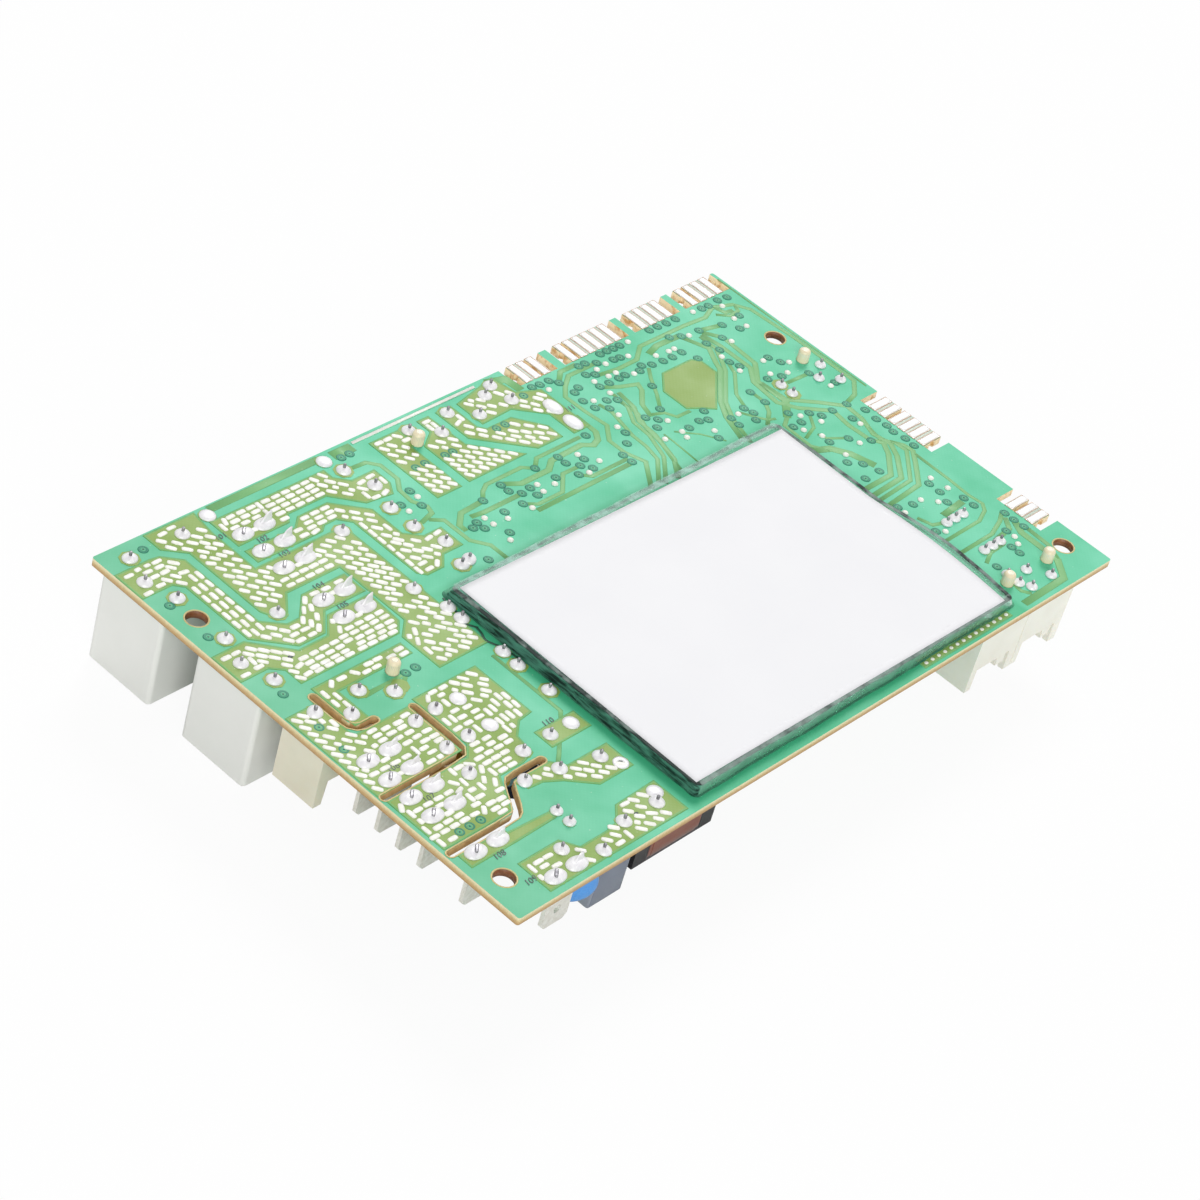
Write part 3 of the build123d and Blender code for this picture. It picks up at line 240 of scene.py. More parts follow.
def make_piece(name, bodies, finish_name, replaces=(), smooth=True, marks=None):
    """Joins bodies of (points in mm from the board's corner, faces) into one object at the
    origin, riding on the board."""
    points, corners, sizes, start = [], [], [], 0
    for body, faces in bodies:
        points.append(body)
        for part in faces:
            corners.append((part + start).ravel())
            sizes.append(np.full(len(part), part.shape[1]))
        start += len(body)
    points = at(np.concatenate(points)).astype(np.float32)
    corners, sizes = np.concatenate(corners), np.concatenate(sizes)
    mesh = bpy.data.meshes.new(name)
    mesh.vertices.add(len(points))
    mesh.vertices.foreach_set("co", points.ravel())
    mesh.loops.add(len(corners))
    mesh.loops.foreach_set("vertex_index", corners.astype(np.int32))
    mesh.polygons.add(len(sizes))
    starts = np.concatenate([[0], np.cumsum(sizes)[:-1]]).astype(np.int32)
    mesh.polygons.foreach_set("loop_start", starts)
    for mark, values in (marks or {}).items():
        mesh.attributes.new(mark, "FLOAT", "POINT").data.foreach_set(
            "value", np.asarray(values, np.float32))
    mesh.update(calc_edges=True)
    mesh.validate()
    shade = mesh.shade_smooth if smooth else mesh.shade_flat
    shade()
    piece = bpy.data.objects.new(name, mesh)
    bpy.context.scene.collection.objects.link(piece)
    piece.data.materials.append(worn(finish_name))
    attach(piece, "root")
    if replaces:
        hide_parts(*replaces)
    return piece


# ---- Shader effects ------------------------------------------------------------------
COLOUR, NUMBER = "NodeSocketColor", "NodeSocketFloat"


def add_node(tree, kind, **settings):
    """Adds a shader node with its settings."""
    node = tree.nodes.new(kind)
    for key, value in settings.items():
        setattr(node, key, value)
    return node


def join(tree, source, target):
    """Links a socket, or gives a plain value, to another socket."""
    if isinstance(source, (int, float, tuple)):
        target.default_value = source
    else:
        tree.links.new(source, target)


def maths(tree, kind, first, second=0.0, clamp=False):
    """A math node of two inputs, each a socket or a number; gives its output."""
    node = add_node(tree, "ShaderNodeMath", operation=kind, use_clamp=clamp)
    join(tree, first, node.inputs[0])
    join(tree, second, node.inputs[1])
    return node.outputs[0]


def product(tree, first, second):
    """Two sockets or numbers multiplied; gives the output."""
    return maths(tree, "MULTIPLY", first, second)


def blend_of(tree, share, first, second):
    """A colour mix; gives its output."""
    node = add_node(tree, "ShaderNodeMix", data_type="RGBA")
    for i, value in ((0, share), (6, first), (7, second)):
        join(tree, value, node.inputs[i])
    return node.outputs[2]


def spread(tree, value, low, high, to_low=0.0, to_high=1.0):
    """Maps a value's range onto another, clamped; gives its output."""
    node = add_node(tree, "ShaderNodeMapRange", clamp=True)
    for i, number in enumerate((value, low, high, to_low, to_high)):
        join(tree, number, node.inputs[i])
    return node.outputs[0]


def noise_of(tree, place, size, detail=3.0, rough=0.55):
    """Noise whose features are about as large as size, a socket or a length in metres."""
    node = add_node(tree, "ShaderNodeTexNoise")
    scale = 1 / size if isinstance(size, float) else maths(tree, "DIVIDE", 1.0, size)
    for label, value in (("Vector", place), ("Scale", scale), ("Detail", detail),
                         ("Roughness", rough)):
        join(tree, value, node.inputs[label])
    return node.outputs["Fac"]


def place_in(tree):
    """The place on the object in metres: the vector, and its X, Y and Z."""
    place = add_node(tree, "ShaderNodeTexCoord").outputs["Object"]
    parts = add_node(tree, "ShaderNodeSeparateXYZ")
    join(tree, place, parts.inputs[0])
    return (place, *parts.outputs)


def mark_in(tree, name):
    """A mark that the piece itself carries."""
    return add_node(tree, "ShaderNodeAttribute", attribute_name=name).outputs["Fac"]


def new_effect(name, *inputs):
    """An empty shader node group with two colours and named numbers for inputs, and colour,
    roughness and height for outputs; gives the tree, its inputs and its outputs."""
    tree = bpy.data.node_groups.new(name, "ShaderNodeTree")
    for label, value in inputs:
        kind = COLOUR if isinstance(value, tuple) else NUMBER
        socket = tree.interface.new_socket(label, in_out="INPUT", socket_type=kind)
        socket.default_value = value
    for label, kind in (("Colour", COLOUR), ("Roughness", NUMBER), ("Height", NUMBER)):
        tree.interface.new_socket(label, in_out="OUTPUT", socket_type=kind)
    given, result = add_node(tree, "NodeGroupInput"), add_node(tree, "NodeGroupOutput")
    return tree, given.outputs, result.inputs


def make_moulded_effect():
    """Moulded plastic, lacquer and paper: slow blotches between two colours, a fine grain
    for the bump, and a roughness that follows both."""
    tree, given, result = new_effect(
        "moulded surface", ("Colour", (0.8, 0.8, 0.8, 1)), ("Second Colour", (0.7, 0.7, 0.7, 1)),
        ("Blotch Size", 0.006), ("Blotch Share", 0.5), ("Grain Size", 0.0003),
        ("Grain Depth", 0.3), ("Smoothest", 0.35), ("Roughest", 0.55))
    place = place_in(tree)[0]
    blotch = spread(tree, noise_of(tree, place, given["Blotch Size"], 4.0), 0.32, 0.68)
    grain = noise_of(tree, place, given["Grain Size"], 2.0, 0.6)
    share = product(tree, blotch, given["Blotch Share"])
    join(tree, blend_of(tree, share, given["Colour"], given["Second Colour"]), result["Colour"])
    mixed = maths(tree, "ADD", product(tree, blotch, 0.6), product(tree, grain, 0.4))
    join(tree, spread(tree, mixed, 0.2, 0.8, given["Smoothest"], given["Roughest"]),
         result["Roughness"])
    join(tree, product(tree, grain, given["Grain Depth"]), result["Height"])
    return tree


def make_tin_effect():
    """Solder and tin: a pale metal with duller frosted crystals and small ripples."""
    tree, given, result = new_effect(
        "tinned surface", ("Bright", (0.9, 0.9, 0.9, 1)), ("Dull", (0.7, 0.7, 0.72, 1)),
        ("Crystal Size", 0.0008), ("Ripple Size", 0.0012), ("Smoothest", 0.25),
        ("Roughest", 0.5))
    place = place_in(tree)[0]
    cell = add_node(tree, "ShaderNodeTexVoronoi", feature="F1")
    join(tree, place, cell.inputs["Vector"])
    join(tree, maths(tree, "DIVIDE", 1.0, given["Crystal Size"]), cell.inputs["Scale"])
    tone = add_node(tree, "ShaderNodeRGBToBW")
    join(tree, cell.outputs["Color"], tone.inputs[0])
    frost = noise_of(tree, place, given["Ripple Size"], 3.0)
    mixed = maths(tree, "ADD", product(tree, tone.outputs[0], 0.45), frost)
    share = spread(tree, mixed, 0.45, 0.95)
    join(tree, blend_of(tree, share, given["Bright"], given["Dull"]), result["Colour"])
    join(tree, spread(tree, share, 0.0, 1.0, given["Smoothest"], given["Roughest"]),
         result["Roughness"])
    join(tree, frost, result["Height"])
    return tree


def make_mask_effect():
    """Solder mask over woven glass: a faint cloth pattern, slow drifts of tint where the
    lacquer is thicker, and pin-sized dust specks."""
    tree, given, result = new_effect(
        "solder mask", ("Colour", (0.2, 0.7, 0.45, 1)), ("Thick Colour", (0.15, 0.6, 0.4, 1)),
        ("Cloth Pitch", 0.0009), ("Cloth Share", 0.25), ("Drift Size", 0.012),
        ("Speck Share", 0.4))
    place, x, y, _ = place_in(tree)
    full_turn = 6.2832
    turns = maths(tree, "DIVIDE", full_turn, given["Cloth Pitch"])
    warp = maths(tree, "SINE", product(tree, x, turns))
    weft = maths(tree, "SINE", product(tree, y, turns))
    cloth = product(tree, product(tree, warp, weft), given["Cloth Share"])
    drift = spread(tree, noise_of(tree, place, given["Drift Size"], 5.0), 0.3, 0.7)
    share = maths(tree, "ADD", product(tree, cloth, 0.5), drift, clamp=True)
    base = blend_of(tree, share, given["Colour"], given["Thick Colour"])
    speck = spread(tree, noise_of(tree, place, 0.0007, 1.0), 0.76, 0.8)
    dust = product(tree, speck, given["Speck Share"])
    join(tree, blend_of(tree, dust, base, (0.75, 0.85, 0.78, 1)), result["Colour"])
    join(tree, spread(tree, drift, 0.0, 1.0, 0.42, 0.56), result["Roughness"])
    relief = maths(tree, "ADD", product(tree, cloth, 0.6), product(tree, drift, 0.3))
    join(tree, relief, result["Height"])
    return tree


EFFECT_MAKERS = {"moulded": make_moulded_effect, "tin": make_tin_effect, "mask": make_mask_effect}
EFFECTS = {}


def srgb(red, green, blue):
    """A colour of 0 to 255 parts as linear light with full cover."""
    c = np.array([red, green, blue]) / 255
    c = np.where(c <= 0.04045, c / 12.92, ((c + 0.055) / 1.055) ** 2.4)
    return (*[float(v) for v in c], 1.0)


def finish(name, kind, first, second, bump=0.2, bump_depth=0.00004, **values):
    """A material: a shared effect, made once, feeds colour, roughness and bump of a
    Principled shader. Each other value goes to the effect's input of that name, or else to
    the shader's."""
    if kind not in EFFECTS:
        EFFECTS[kind] = EFFECT_MAKERS[kind]()
    material = bpy.data.materials.new(name)
    material.use_nodes = True
    tree = material.node_tree
    shader = tree.nodes["Principled BSDF"]
    given = add_node(tree, "ShaderNodeGroup", node_tree=EFFECTS[kind])
    given.inputs[0].default_value, given.inputs[1].default_value = srgb(*first), srgb(*second)
    join(tree, given.outputs["Colour"], shader.inputs["Base Color"])
    join(tree, given.outputs["Roughness"], shader.inputs["Roughness"])
    relief = add_node(tree, "ShaderNodeBump")
    relief.inputs["Strength"].default_value = bump
    relief.inputs["Distance"].default_value = bump_depth
    join(tree, given.outputs["Height"], relief.inputs["Height"])
    join(tree, relief.outputs["Normal"], shader.inputs["Normal"])
    for label, value in values.items():
        label = label.replace("_", " ").title().replace("Ior", "IOR")
        owner = given if label in given.inputs else shader
        owner.inputs[label].default_value = value
    return material


# ---- Places on the board, in mm from its left and front edges -------------------------
tab_lefts = [(4.9, y) for y in (40.0, 34.8, 29.8, 24.7, 14.7)] + [(11.9, 3.2)] + [
    (26.7, y) for y in (94.0, 88.8, 83.5, 73.5, 68.3)]
tab_rights = [(x + 5.2, y) for x, y in tab_lefts]
relay_joints = [
    (3.3, 93.6), (5.3, 87.5), (5.3, 99.7), (17.5, 99.7), (3.3, 69.3), (5.3, 63.2), (5.3, 75.4),
    (17.5, 75.4), (56.7, 91.3), (54.7, 97.4), (54.7, 85.2), (42.5, 85.2), (56.7, 73.1),
    (54.7, 79.2), (54.7, 67), (42.5, 67)]
header_joints = [
    (5.5, 53.4), (10.6, 49.8), (15.7, 53.4), (20.8, 49.8), (73.5, 99.4), (78.6, 95.8), (83.7, 99.4),
    (88.8, 95.8), (93.9, 99.4), (44, 35.1), (44, 42.7)]
part_joints = [
    (17.4, 7), (23.2, 2.8), (31.2, 5.5), (31.2, 20.5), (39.4, 5.4), (39.4, 18.6), (52.9, 5.4),
    (52.9, 18.6), (44.3, 56.8), (44.3, 60.2), (29, 27), (36, 27.2), (44.3, 46.6), (97, 101),
    (97.5, 95.8)]
swept_joints = [
    (18.6, 42.5), (23.7, 42.8), (18.5, 34.9), (23.7, 34.9), (24, 21.8), (17.3, 28.4), (56.9, 67.3),
    (5.6, 53.6), (10.6, 49.8)]
small_joints = [
    (23.3, 13.7), (23.3, 10.7), (144.6, 25), (147.1, 25), (149.6, 25), (144.6, 15.7), (147.1, 15.7),
    (149.6, 15.7), (129.9, 3.8), (133, 7.5), (136.1, 3.8), (144.2, 3.8), (147.3, 7.5), (150.4, 3.8),
    (161.1, 65.7), (157.5, 68.35), (161.1, 71), (142.8, 8.7), (142.9, 5.9), (148.7, 67.9),
    (148.7, 70.9)]
bare_rounds = [
    (24.7, 101.1), (53.3, 101.1), (28.8, 42.4), (28.8, 34.7), (41.2, 27.2), (41, 7.3)]

isolation_slots = [
    [(8, 56.4), (8, 48.5), (9.5, 46.7), (13, 46.7)],
    [(20.9, 45.2), (20.9, 34), (19.5, 32.3), (1.2, 32.3)],
    [(30.2, 23.7), (22.3, 23.7), (21.2, 22.6), (18, 17.6), (16.5, 16.8), (1.2, 16.8)]]
mounting_holes = [
    (4.7, 7.9), (4.7, 81.9), (159.8, 7.9), (159.8, 81.9)]

copper_outlines = [
    [(0.3, 97.6), (8, 97.6), (10, 97.3), (13.2, 94.3), (13.2, 75.5), (17, 72.3), (20, 72.3),
     (24.5, 76.5), (34.7, 76.5), (34.7, 71.5), (25, 71.5), (21, 67.3), (15, 67.3), (8.7, 73.3),
     (8.7, 89), (7, 90.7), (0.3, 90.7)],
    [(11.5, 102.9), (23, 102.9), (22.2, 97), (22.2, 86), (43.7, 86), (43.7, 50), (32, 50), (32, 59),
     (35.5, 62), (35.5, 78.5), (22.5, 78.5), (18.5, 74), (17, 74), (15.3, 77.3), (15.3, 95.3),
     (11.5, 98.7)],
    [(24, 92.2), (36, 92.2), (37.5, 94), (47, 94), (52, 88.7), (58, 88), (59.7, 90.5), (59.7, 94.5),
     (54, 94.5), (51.5, 97), (51.5, 99.3), (24, 99.5)],
    [(24, 87.2), (39.5, 87.2), (41, 88.3), (44, 88.3), (46.2, 86), (46.2, 69.8), (47.5, 68.5),
     (51.5, 68.5), (54, 71), (58.8, 71), (58.8, 76.3), (54.5, 76.3), (51.5, 79), (51.5, 86.7),
     (45.7, 92.3), (38.5, 92.3), (36, 90.3), (24, 90.3)],
    [(0.3, 73), (7.5, 73), (14, 66.3), (21, 66.3), (24.7, 70.2), (34.7, 70.2), (34.3, 62.5),
     (32, 60.2), (8.8, 60.2), (8.8, 64), (6.5, 66), (0.3, 66)],
    [(9.3, 47.6), (12.5, 47.6), (12.5, 55.3), (30.3, 55.3), (30.3, 58), (9.3, 58)],
    [(0.5, 33.2), (20.1, 33.2), (20.1, 45.7), (7.1, 45.7), (7.1, 55), (0.5, 55)],
    [(22.2, 46.6), (37.3, 46.6), (37.3, 33.2), (34, 32.8), (30.8, 30.2), (30.2, 26), (27, 25.2),
     (21.3, 25.2), (19.5, 22.5), (17, 18.2), (1, 18.2), (1, 31.2), (19.8, 31.2), (22.2, 33.5)],
    [(2, 12.7), (12.5, 12.7), (22, 12.9), (22, 14.2), (12.5, 14.8), (12.5, 15.7), (2, 15.7)],
    [(23, 22.7), (31, 22.6), (33, 20.2), (42.7, 20.2), (42.7, 14.1), (34.5, 14.1), (29.8, 18.2),
     (26.5, 20), (23.3, 20.3)],
    [(9, 1.5), (9, 8.7), (18.5, 8.7), (20.5, 5.5), (27, 5.5), (30, 6), (33, 8.9), (42.8, 9.2),
     (42.8, 1.5)],
    [(64.5, 82.8), (70.5, 82.8), (70.5, 95.5), (71.8, 96.5), (71.8, 100.5), (64.5, 100.5)],
    [(73, 83), (88, 83), (80, 91), (79.7, 100.5), (77, 100.5), (77, 97), (73, 94.5)],
    [(82, 100.5), (85.7, 100.5), (85.7, 93.5), (87, 92), (93.5, 92), (98, 86.5), (98, 83),
     (91.5, 83), (82, 92)],
    [(87.5, 100.3), (99, 102.6), (100, 97), (105, 95), (105, 82.5), (101, 82.5), (101, 89),
     (95.5, 94), (87.5, 93.7)],
    [(126.2, 76), (126.2, 82), (130.3, 86), (138.7, 86), (140.2, 84.5), (140.2, 80.7),
     (131.3, 72.8), (129, 74.5)],
    [(34.2, 25), (43.7, 25), (43.7, 29), (34.2, 29)],
    [(108, 0.9), (134, 0.9), (134, 3.3), (108, 3.3)]]

# Tinned dashes on the copper, each in a run of first place, last place, how many and the
# angle of each dash, or alone as place and angle.
tin_runs = [
    # the broad track along the left edge, round the mounting hole
    (2.1, 96.3, 0), (8.7, 96.6, 0), (5.6, 95.4, 8.2, 95.3, 2, 0), (5.8, 93.8, 8.1, 93.8, 2, 0),
    (5.2, 91.6, 0), (2, 91.1, 0), (7, 92, 9, 92, 2, -50), (8.7, 90.1, -50),
    (9.8, 94.1, 11, 94.8, 2, -50), (10.9, 92, -10), (12.4, 92.8, 80), (9.5, 87.3, 9.4, 74.4, 6, 90),
    (11.2, 90, 10.8, 73.8, 7, 90), (12.7, 90, 12.5, 74.4, 7, 90), (11.6, 71.9, 14.3, 69.2, 2, -50),
    (13.4, 71.3, 15.4, 71.3, 2, -50), (14, 73.1, -50), (17.7, 71.1, 0),
    (16.2, 69.7, 18.7, 69.7, 2, 0), (16.2, 68.1, 18.9, 68.1, 2, 0), (20, 71.6, 23.9, 75.2, 3, 48),
    (22.2, 72.2, 23.5, 73.2, 2, 55), (20.7, 70.2, 22.8, 71, 2, 52), (21, 68.7, 45),
    (26.6, 75.6, 29.2, 75.5, 2, 0), (32.4, 75.6, 0),
    # the track behind it and its two rows towards the relays
    (14.5, 101.6, 0), (13, 100.2, -50), (13.3, 98, 15.1, 98.4, 2, -55),
    (15.5, 96.2, 17.4, 97, 2, -50), (19.2, 97.8, 21.2, 96.6, 2, -50), (19.3, 95.8, -50),
    (17.5, 94.2, 21.1, 94.3, 3, -50), (16.4, 93.2, 60), (18, 91.8, 21.1, 91.8, 3, -50),
    (16.5, 91.2, -40), (17, 89.2, 21.1, 89.5, 3, -50), (16.9, 87, 21.1, 87.3, 3, -50),
    (17.1, 84.8, 18.6, 85.5, 2, -50), (20.6, 85.2, 22.9, 84.6, 2, -50),
    (16.6, 82.7, 22.6, 83, 4, -50), (16.9, 80.2, 22.4, 81.1, 4, -50), (16.4, 78.5, -50),
    (19, 78.3, 22.1, 79.4, 3, -50), (19.6, 76.9, -50), (24.6, 81.1, 33.9, 81.1, 5, 0),
    (24.6, 79.5, 33.9, 79.5, 5, 0), (35.5, 83.3, 38.9, 84.3, 3, -50),
    (36, 81.4, 42.5, 81.5, 4, -50), (37.8, 82.6, 42.4, 83, 3, -50),
    (36.4, 79.3, 42.4, 79.6, 4, -50), (37, 77.1, 42.3, 77.6, 4, -50),
    (37.4, 75.2, 42.3, 75.4, 4, -50), (37.3, 73.2, 42.4, 73.6, 4, -50),
    (37.3, 71.2, 42.4, 71.6, 4, -50), (37.2, 69.1, 40.7, 69.5, 3, -50),
    (37.2, 67.2, 39, 67.6, 2, -50), (37, 65.6, 38.8, 66, 2, -50), (36.9, 63.8, 42.4, 64.4, 4, -50),
    (38.2, 62.2, 42.9, 62.8, 3, -50), (36.2, 60.6, 42.9, 61, 4, -50), (34.7, 58.8, 55),
    (37.2, 58.8, 42.9, 59.2, 4, -50), (36, 57, 42.8, 57.4, 5, -50),
    (36.6, 55.2, 42.8, 55.6, 4, -50), (33.2, 54, 90), (34.9, 53.4, 42.6, 53.8, 5, -50),
    (34.8, 52.3, 36.8, 51.8, 2, -50), (40.6, 51.9, 42.4, 52.2, 2, -50),
    # two tracks from the upper terminals to the first pair of relays
    (28, 98.7, 32.9, 98.7, 3, 0), (27.9, 97.4, 32.9, 97.4, 3, 0), (26.7, 96.1, 31.9, 96.2, 3, 0),
    (24.9, 97.2, 90), (26.2, 98.2, 70), (34.5, 98.2, 34.4, 96, 2, 90),
    (36.4, 98.6, 46.1, 98.6, 5, 0), (36.4, 97.3, 46.1, 97.3, 5, 0), (36.4, 96, 46.1, 96, 5, 0),
    (36.4, 94.7, 46.1, 94.7, 5, 0), (36, 93.2, 0), (48.1, 98.3, 50.3, 98.4, 2, -60),
    (48.4, 96.4, 50.3, 96.4, 2, -50), (48.6, 94.2, 51.9, 94.6, 2, -50),
    (50.7, 92.2, 52.7, 93.1, 2, -50), (51.6, 90.8, 54.1, 91.8, 2, -50),
    (55.2, 93.3, 57.8, 93.6, 2, 4), (53.4, 90.2, 90), (54.6, 88.8, 0), (57, 88.9, 20),
    (59.1, 91.6, 85), (35.9, 89.6, 35.9, 88, 2, 0), (39.3, 91.5, 44.3, 91.5, 3, 0),
    (39, 90.2, 44.2, 90.2, 3, 0), (38.6, 88.9, 43.7, 89, 3, 0), (38.4, 87.7, 10),
    (46.2, 89.6, 50, 85.9, 3, -50), (45.4, 88.1, 49.3, 84.4, 3, -50),
    (46.9, 84.2, 46.9, 70.1, 7, 90), (48.6, 82.5, 48.8, 72.8, 5, -50), (50.4, 81.6, 90),
    (49.7, 78.1, 50.6, 74, 3, -50), (51, 77.2, 53.5, 75.2, 3, -50), (52.3, 73.4, 54.3, 73, 2, -50),
    (48.9, 71.1, 48.9, 69.4, 2, 0), (51.2, 69.7, 52.6, 71, 2, 42), (54.8, 75.5, 57.2, 75.7, 2, 8),
    (55.4, 71.6, -45),
    # the track of the lower upper terminal
    (2.1, 71.7, 4.4, 71.7, 2, 0), (2.1, 66.7, 5.3, 67, 2, 0), (7.3, 71.1, 12, 66.7, 4, -50),
    (6, 70.3, 10.8, 65.7, 4, -50), (5.4, 68.7, 85), (6.8, 67.6, 9.7, 64.7, 3, -50),
    (11.5, 63.5, 10), (9.6, 62.9, 9.5, 61.1, 2, -50), (11.4, 61.2, 0),
    (13.4, 64.5, 20.7, 64.5, 4, 0), (13.5, 63.1, 20.7, 63.1, 4, 0), (13.5, 61.8, 20.7, 61.8, 4, 0),
    (13.6, 60.8, 20.8, 60.8, 4, 0), (23.1, 64.7, 23.1, 63.5, 2, 0), (23.8, 66.4, 55),
    (25.5, 65.8, 32.8, 65.8, 4, 0), (25.5, 64.5, 32.8, 64.5, 4, 0), (25.4, 63.1, 32.6, 63.1, 4, 0),
    (24.6, 61.9, 32.2, 61.9, 4, 0), (23.9, 60.8, 31.2, 60.8, 4, 0),
    # the short track past the first slot, and the one at the left edge
    (10.1, 55.8, 10.1, 53.2, 2, 90), (11.6, 54.3, 11.6, 51.9, 2, 90),
    (11.6, 56.1, 12.9, 57.1, 2, 45), (15.4, 57.2, 0), (18.3, 56.9, -50),
    (19.7, 57.3, 24.1, 57.3, 3, 0), (20.3, 56, 22.6, 56, 2, 0), (24.7, 56.2, 45),
    (29, 57.1, 29, 55.8, 2, 0), (1.6, 53.6, 1.6, 34.4, 11, -52), (3.3, 53.9, 3.3, 52.2, 2, -50),
    (5.4, 49, 5.4, 45.6, 2, -52), (6.5, 49.8, 90), (7, 46.2, -50), (4.6, 44, 7, 44, 2, -50),
    (8.6, 42.7, -50), (10.6, 44.9, 10.6, 43.6, 2, 0), (10.6, 42.3, 0),
    (13.1, 44.1, 15.8, 43.9, 2, 0), (13.1, 42.7, 15.6, 42.7, 2, 0), (13.3, 41.2, 15.8, 41.1, 2, 0),
    (13.7, 39.5, 18.6, 39.8, 3, 0), (16.6, 38.2, 18.8, 38.2, 2, 0), (3.6, 37.2, 11.2, 37.2, 4, 0),
    (13.5, 37.4, 90), (15.2, 37, 0), (18.7, 37, 0), (15.7, 35.6, 0),
    # the wide area right of the second slot and round the lower terminals
    (26.3, 46, 28.7, 45.9, 2, 0), (24.4, 45.3, 48), (31.2, 45.6, 35.4, 45.6, 3, -50),
    (32.6, 44, 36.4, 44, 3, -50), (31.4, 42.6, 35.2, 42.6, 3, -50),
    (32.6, 41.2, 36.4, 41.2, 3, -50), (31.4, 40.4, -50), (26.3, 42.8, 90),
    (26.2, 40.6, 28.8, 40.1, 2, 0), (26.2, 38.8, 29.2, 38.6, 2, 0), (23.5, 37.2, 28.7, 37.2, 3, 0),
    (23, 39.4, 24.5, 39.4, 2, 90), (26.4, 35.3, 90), (30.9, 37.2, 30.9, 34.5, 2, 90),
    (32.3, 37.4, 32.3, 34.7, 2, 90), (33.7, 38.2, 33.7, 34.6, 2, 90), (35.2, 39, 35.2, 34.2, 3, 90),
    (36.5, 38.4, 36.5, 36, 2, 90), (26, 32.8, 0), (30.6, 32.4, 90), (22.8, 31.5, 28.6, 31.4, 3, 0),
    (21.4, 30.1, 28.6, 30.1, 4, 0), (21.8, 28.5, 26.2, 28.6, 3, 0), (22.8, 27.1, 25.2, 27.1, 2, 0),
    (22.8, 25.8, 25.1, 25.8, 2, 0), (20.9, 26.4, 90), (19.8, 27.9, 18.3, 25.9, 2, 52),
    (19.5, 24.4, 50), (15.1, 30.2, 15, 27.4, 2, 90), (16.8, 30.4, 0), (18.9, 29.9, -40),
    (13.9, 30.3, 13.4, 28.2, 2, -55), (3.8, 27.1, 11.1, 27.1, 4, 0), (12.9, 26.4, 20),
    (13.3, 24.2, 90), (15.2, 25.4, 16.8, 25, 2, 90), (14.9, 23.5, 0), (12.9, 22.5, 0),
    (16.5, 22.7, 18.8, 22.7, 2, 0), (3.7, 22.3, 11.1, 22.3, 4, 0), (1.7, 21, 11.1, 21, 5, 0),
    (13.1, 20.8, 50), (15.3, 21.3, 17.5, 21.1, 2, 0), (15, 19.9, 17.4, 19.9, 2, 0), (15.5, 18.8, 0),
    (1.8, 28.9, 55), (2.2, 27, 90), (1.5, 25.3, 1.6, 22.9, 2, 90), (1.6, 19.4, 90),
    # the tracks by the film capacitor
    (28.4, 20.6, 29.4, 19, 2, -50), (33.6, 18.9, 35.7, 19.2, 2, -48),
    (33.2, 17.3, 37.1, 17.4, 3, -48), (35.3, 15.5, 39, 15.6, 3, -45), (10, 6.7, 90),
    (12, 7.2, 14.3, 7.2, 2, 0), (12.2, 6, 0), (13.9, 5.5, -30), (19.9, 5, 19.7, 2.5, 2, -48),
    (25.5, 4.1, 27.6, 4.1, 2, -50), (26.9, 2.4, 0), (28.6, 5.5, -45), (29.6, 2.9, 90),
    (34.4, 8.3, 0), (36.4, 8, 38.6, 8, 2, -48), (33.6, 6.7, 36.3, 6.2, 2, -45),
    (34.4, 4.8, 36.7, 4.1, 2, -40), (32.4, 2.6, 36.7, 2.5, 3, -48),
    # the four fields towards the rear header
    (66, 99.7, 68.2, 99.7, 2, 0), (70.4, 99.4, -50), (71.2, 97.7, 0),
    (65.7, 97.9, 69.6, 97.9, 3, -50), (65.8, 95.8, 67.9, 95.8, 2, -50),
    (65.8, 93.5, 67.9, 93.5, 2, -50), (65.6, 89.8, 69.6, 89.8, 3, -50),
    (65.6, 87.9, 69.8, 87.9, 3, -50), (65.6, 85.9, 69.6, 85.9, 3, -50),
    (65.7, 84.1, 69.6, 84.1, 3, -50), (78.3, 99.6, 0), (77.7, 98, 79, 98, 2, 90),
    (74.2, 93.6, 76.4, 93.9, 2, -50), (79, 93.2, -50), (78.3, 91.6, -50),
    (74.1, 89.4, 80.6, 89.6, 4, -50), (74, 87.7, 82.3, 88, 5, -50),
    (74.1, 85.9, 84.2, 86.1, 6, -50), (74.2, 84.2, 86, 84.3, 7, -50), (83.4, 96.2, 20),
    (84.9, 97.1, 90), (84.4, 94.4, -50), (83.2, 92.9, 90.4, 85.5, 5, -50),
    (92.7, 90.2, 96.8, 86.8, 3, -50), (90.9, 89, 96.9, 84.5, 4, -50),
    (90.2, 87.6, 94.6, 84.3, 3, -50), (92.6, 84.2, -50), (89.2, 99.1, 92.2, 98.8, 2, -50),
    (90.8, 97.4, 92.8, 96.4, 2, -50), (98.4, 93, 99.8, 90.9, 2, -50),
    (100.6, 92.4, 102.4, 93.4, 2, -55), (98.8, 97.5, -60)]

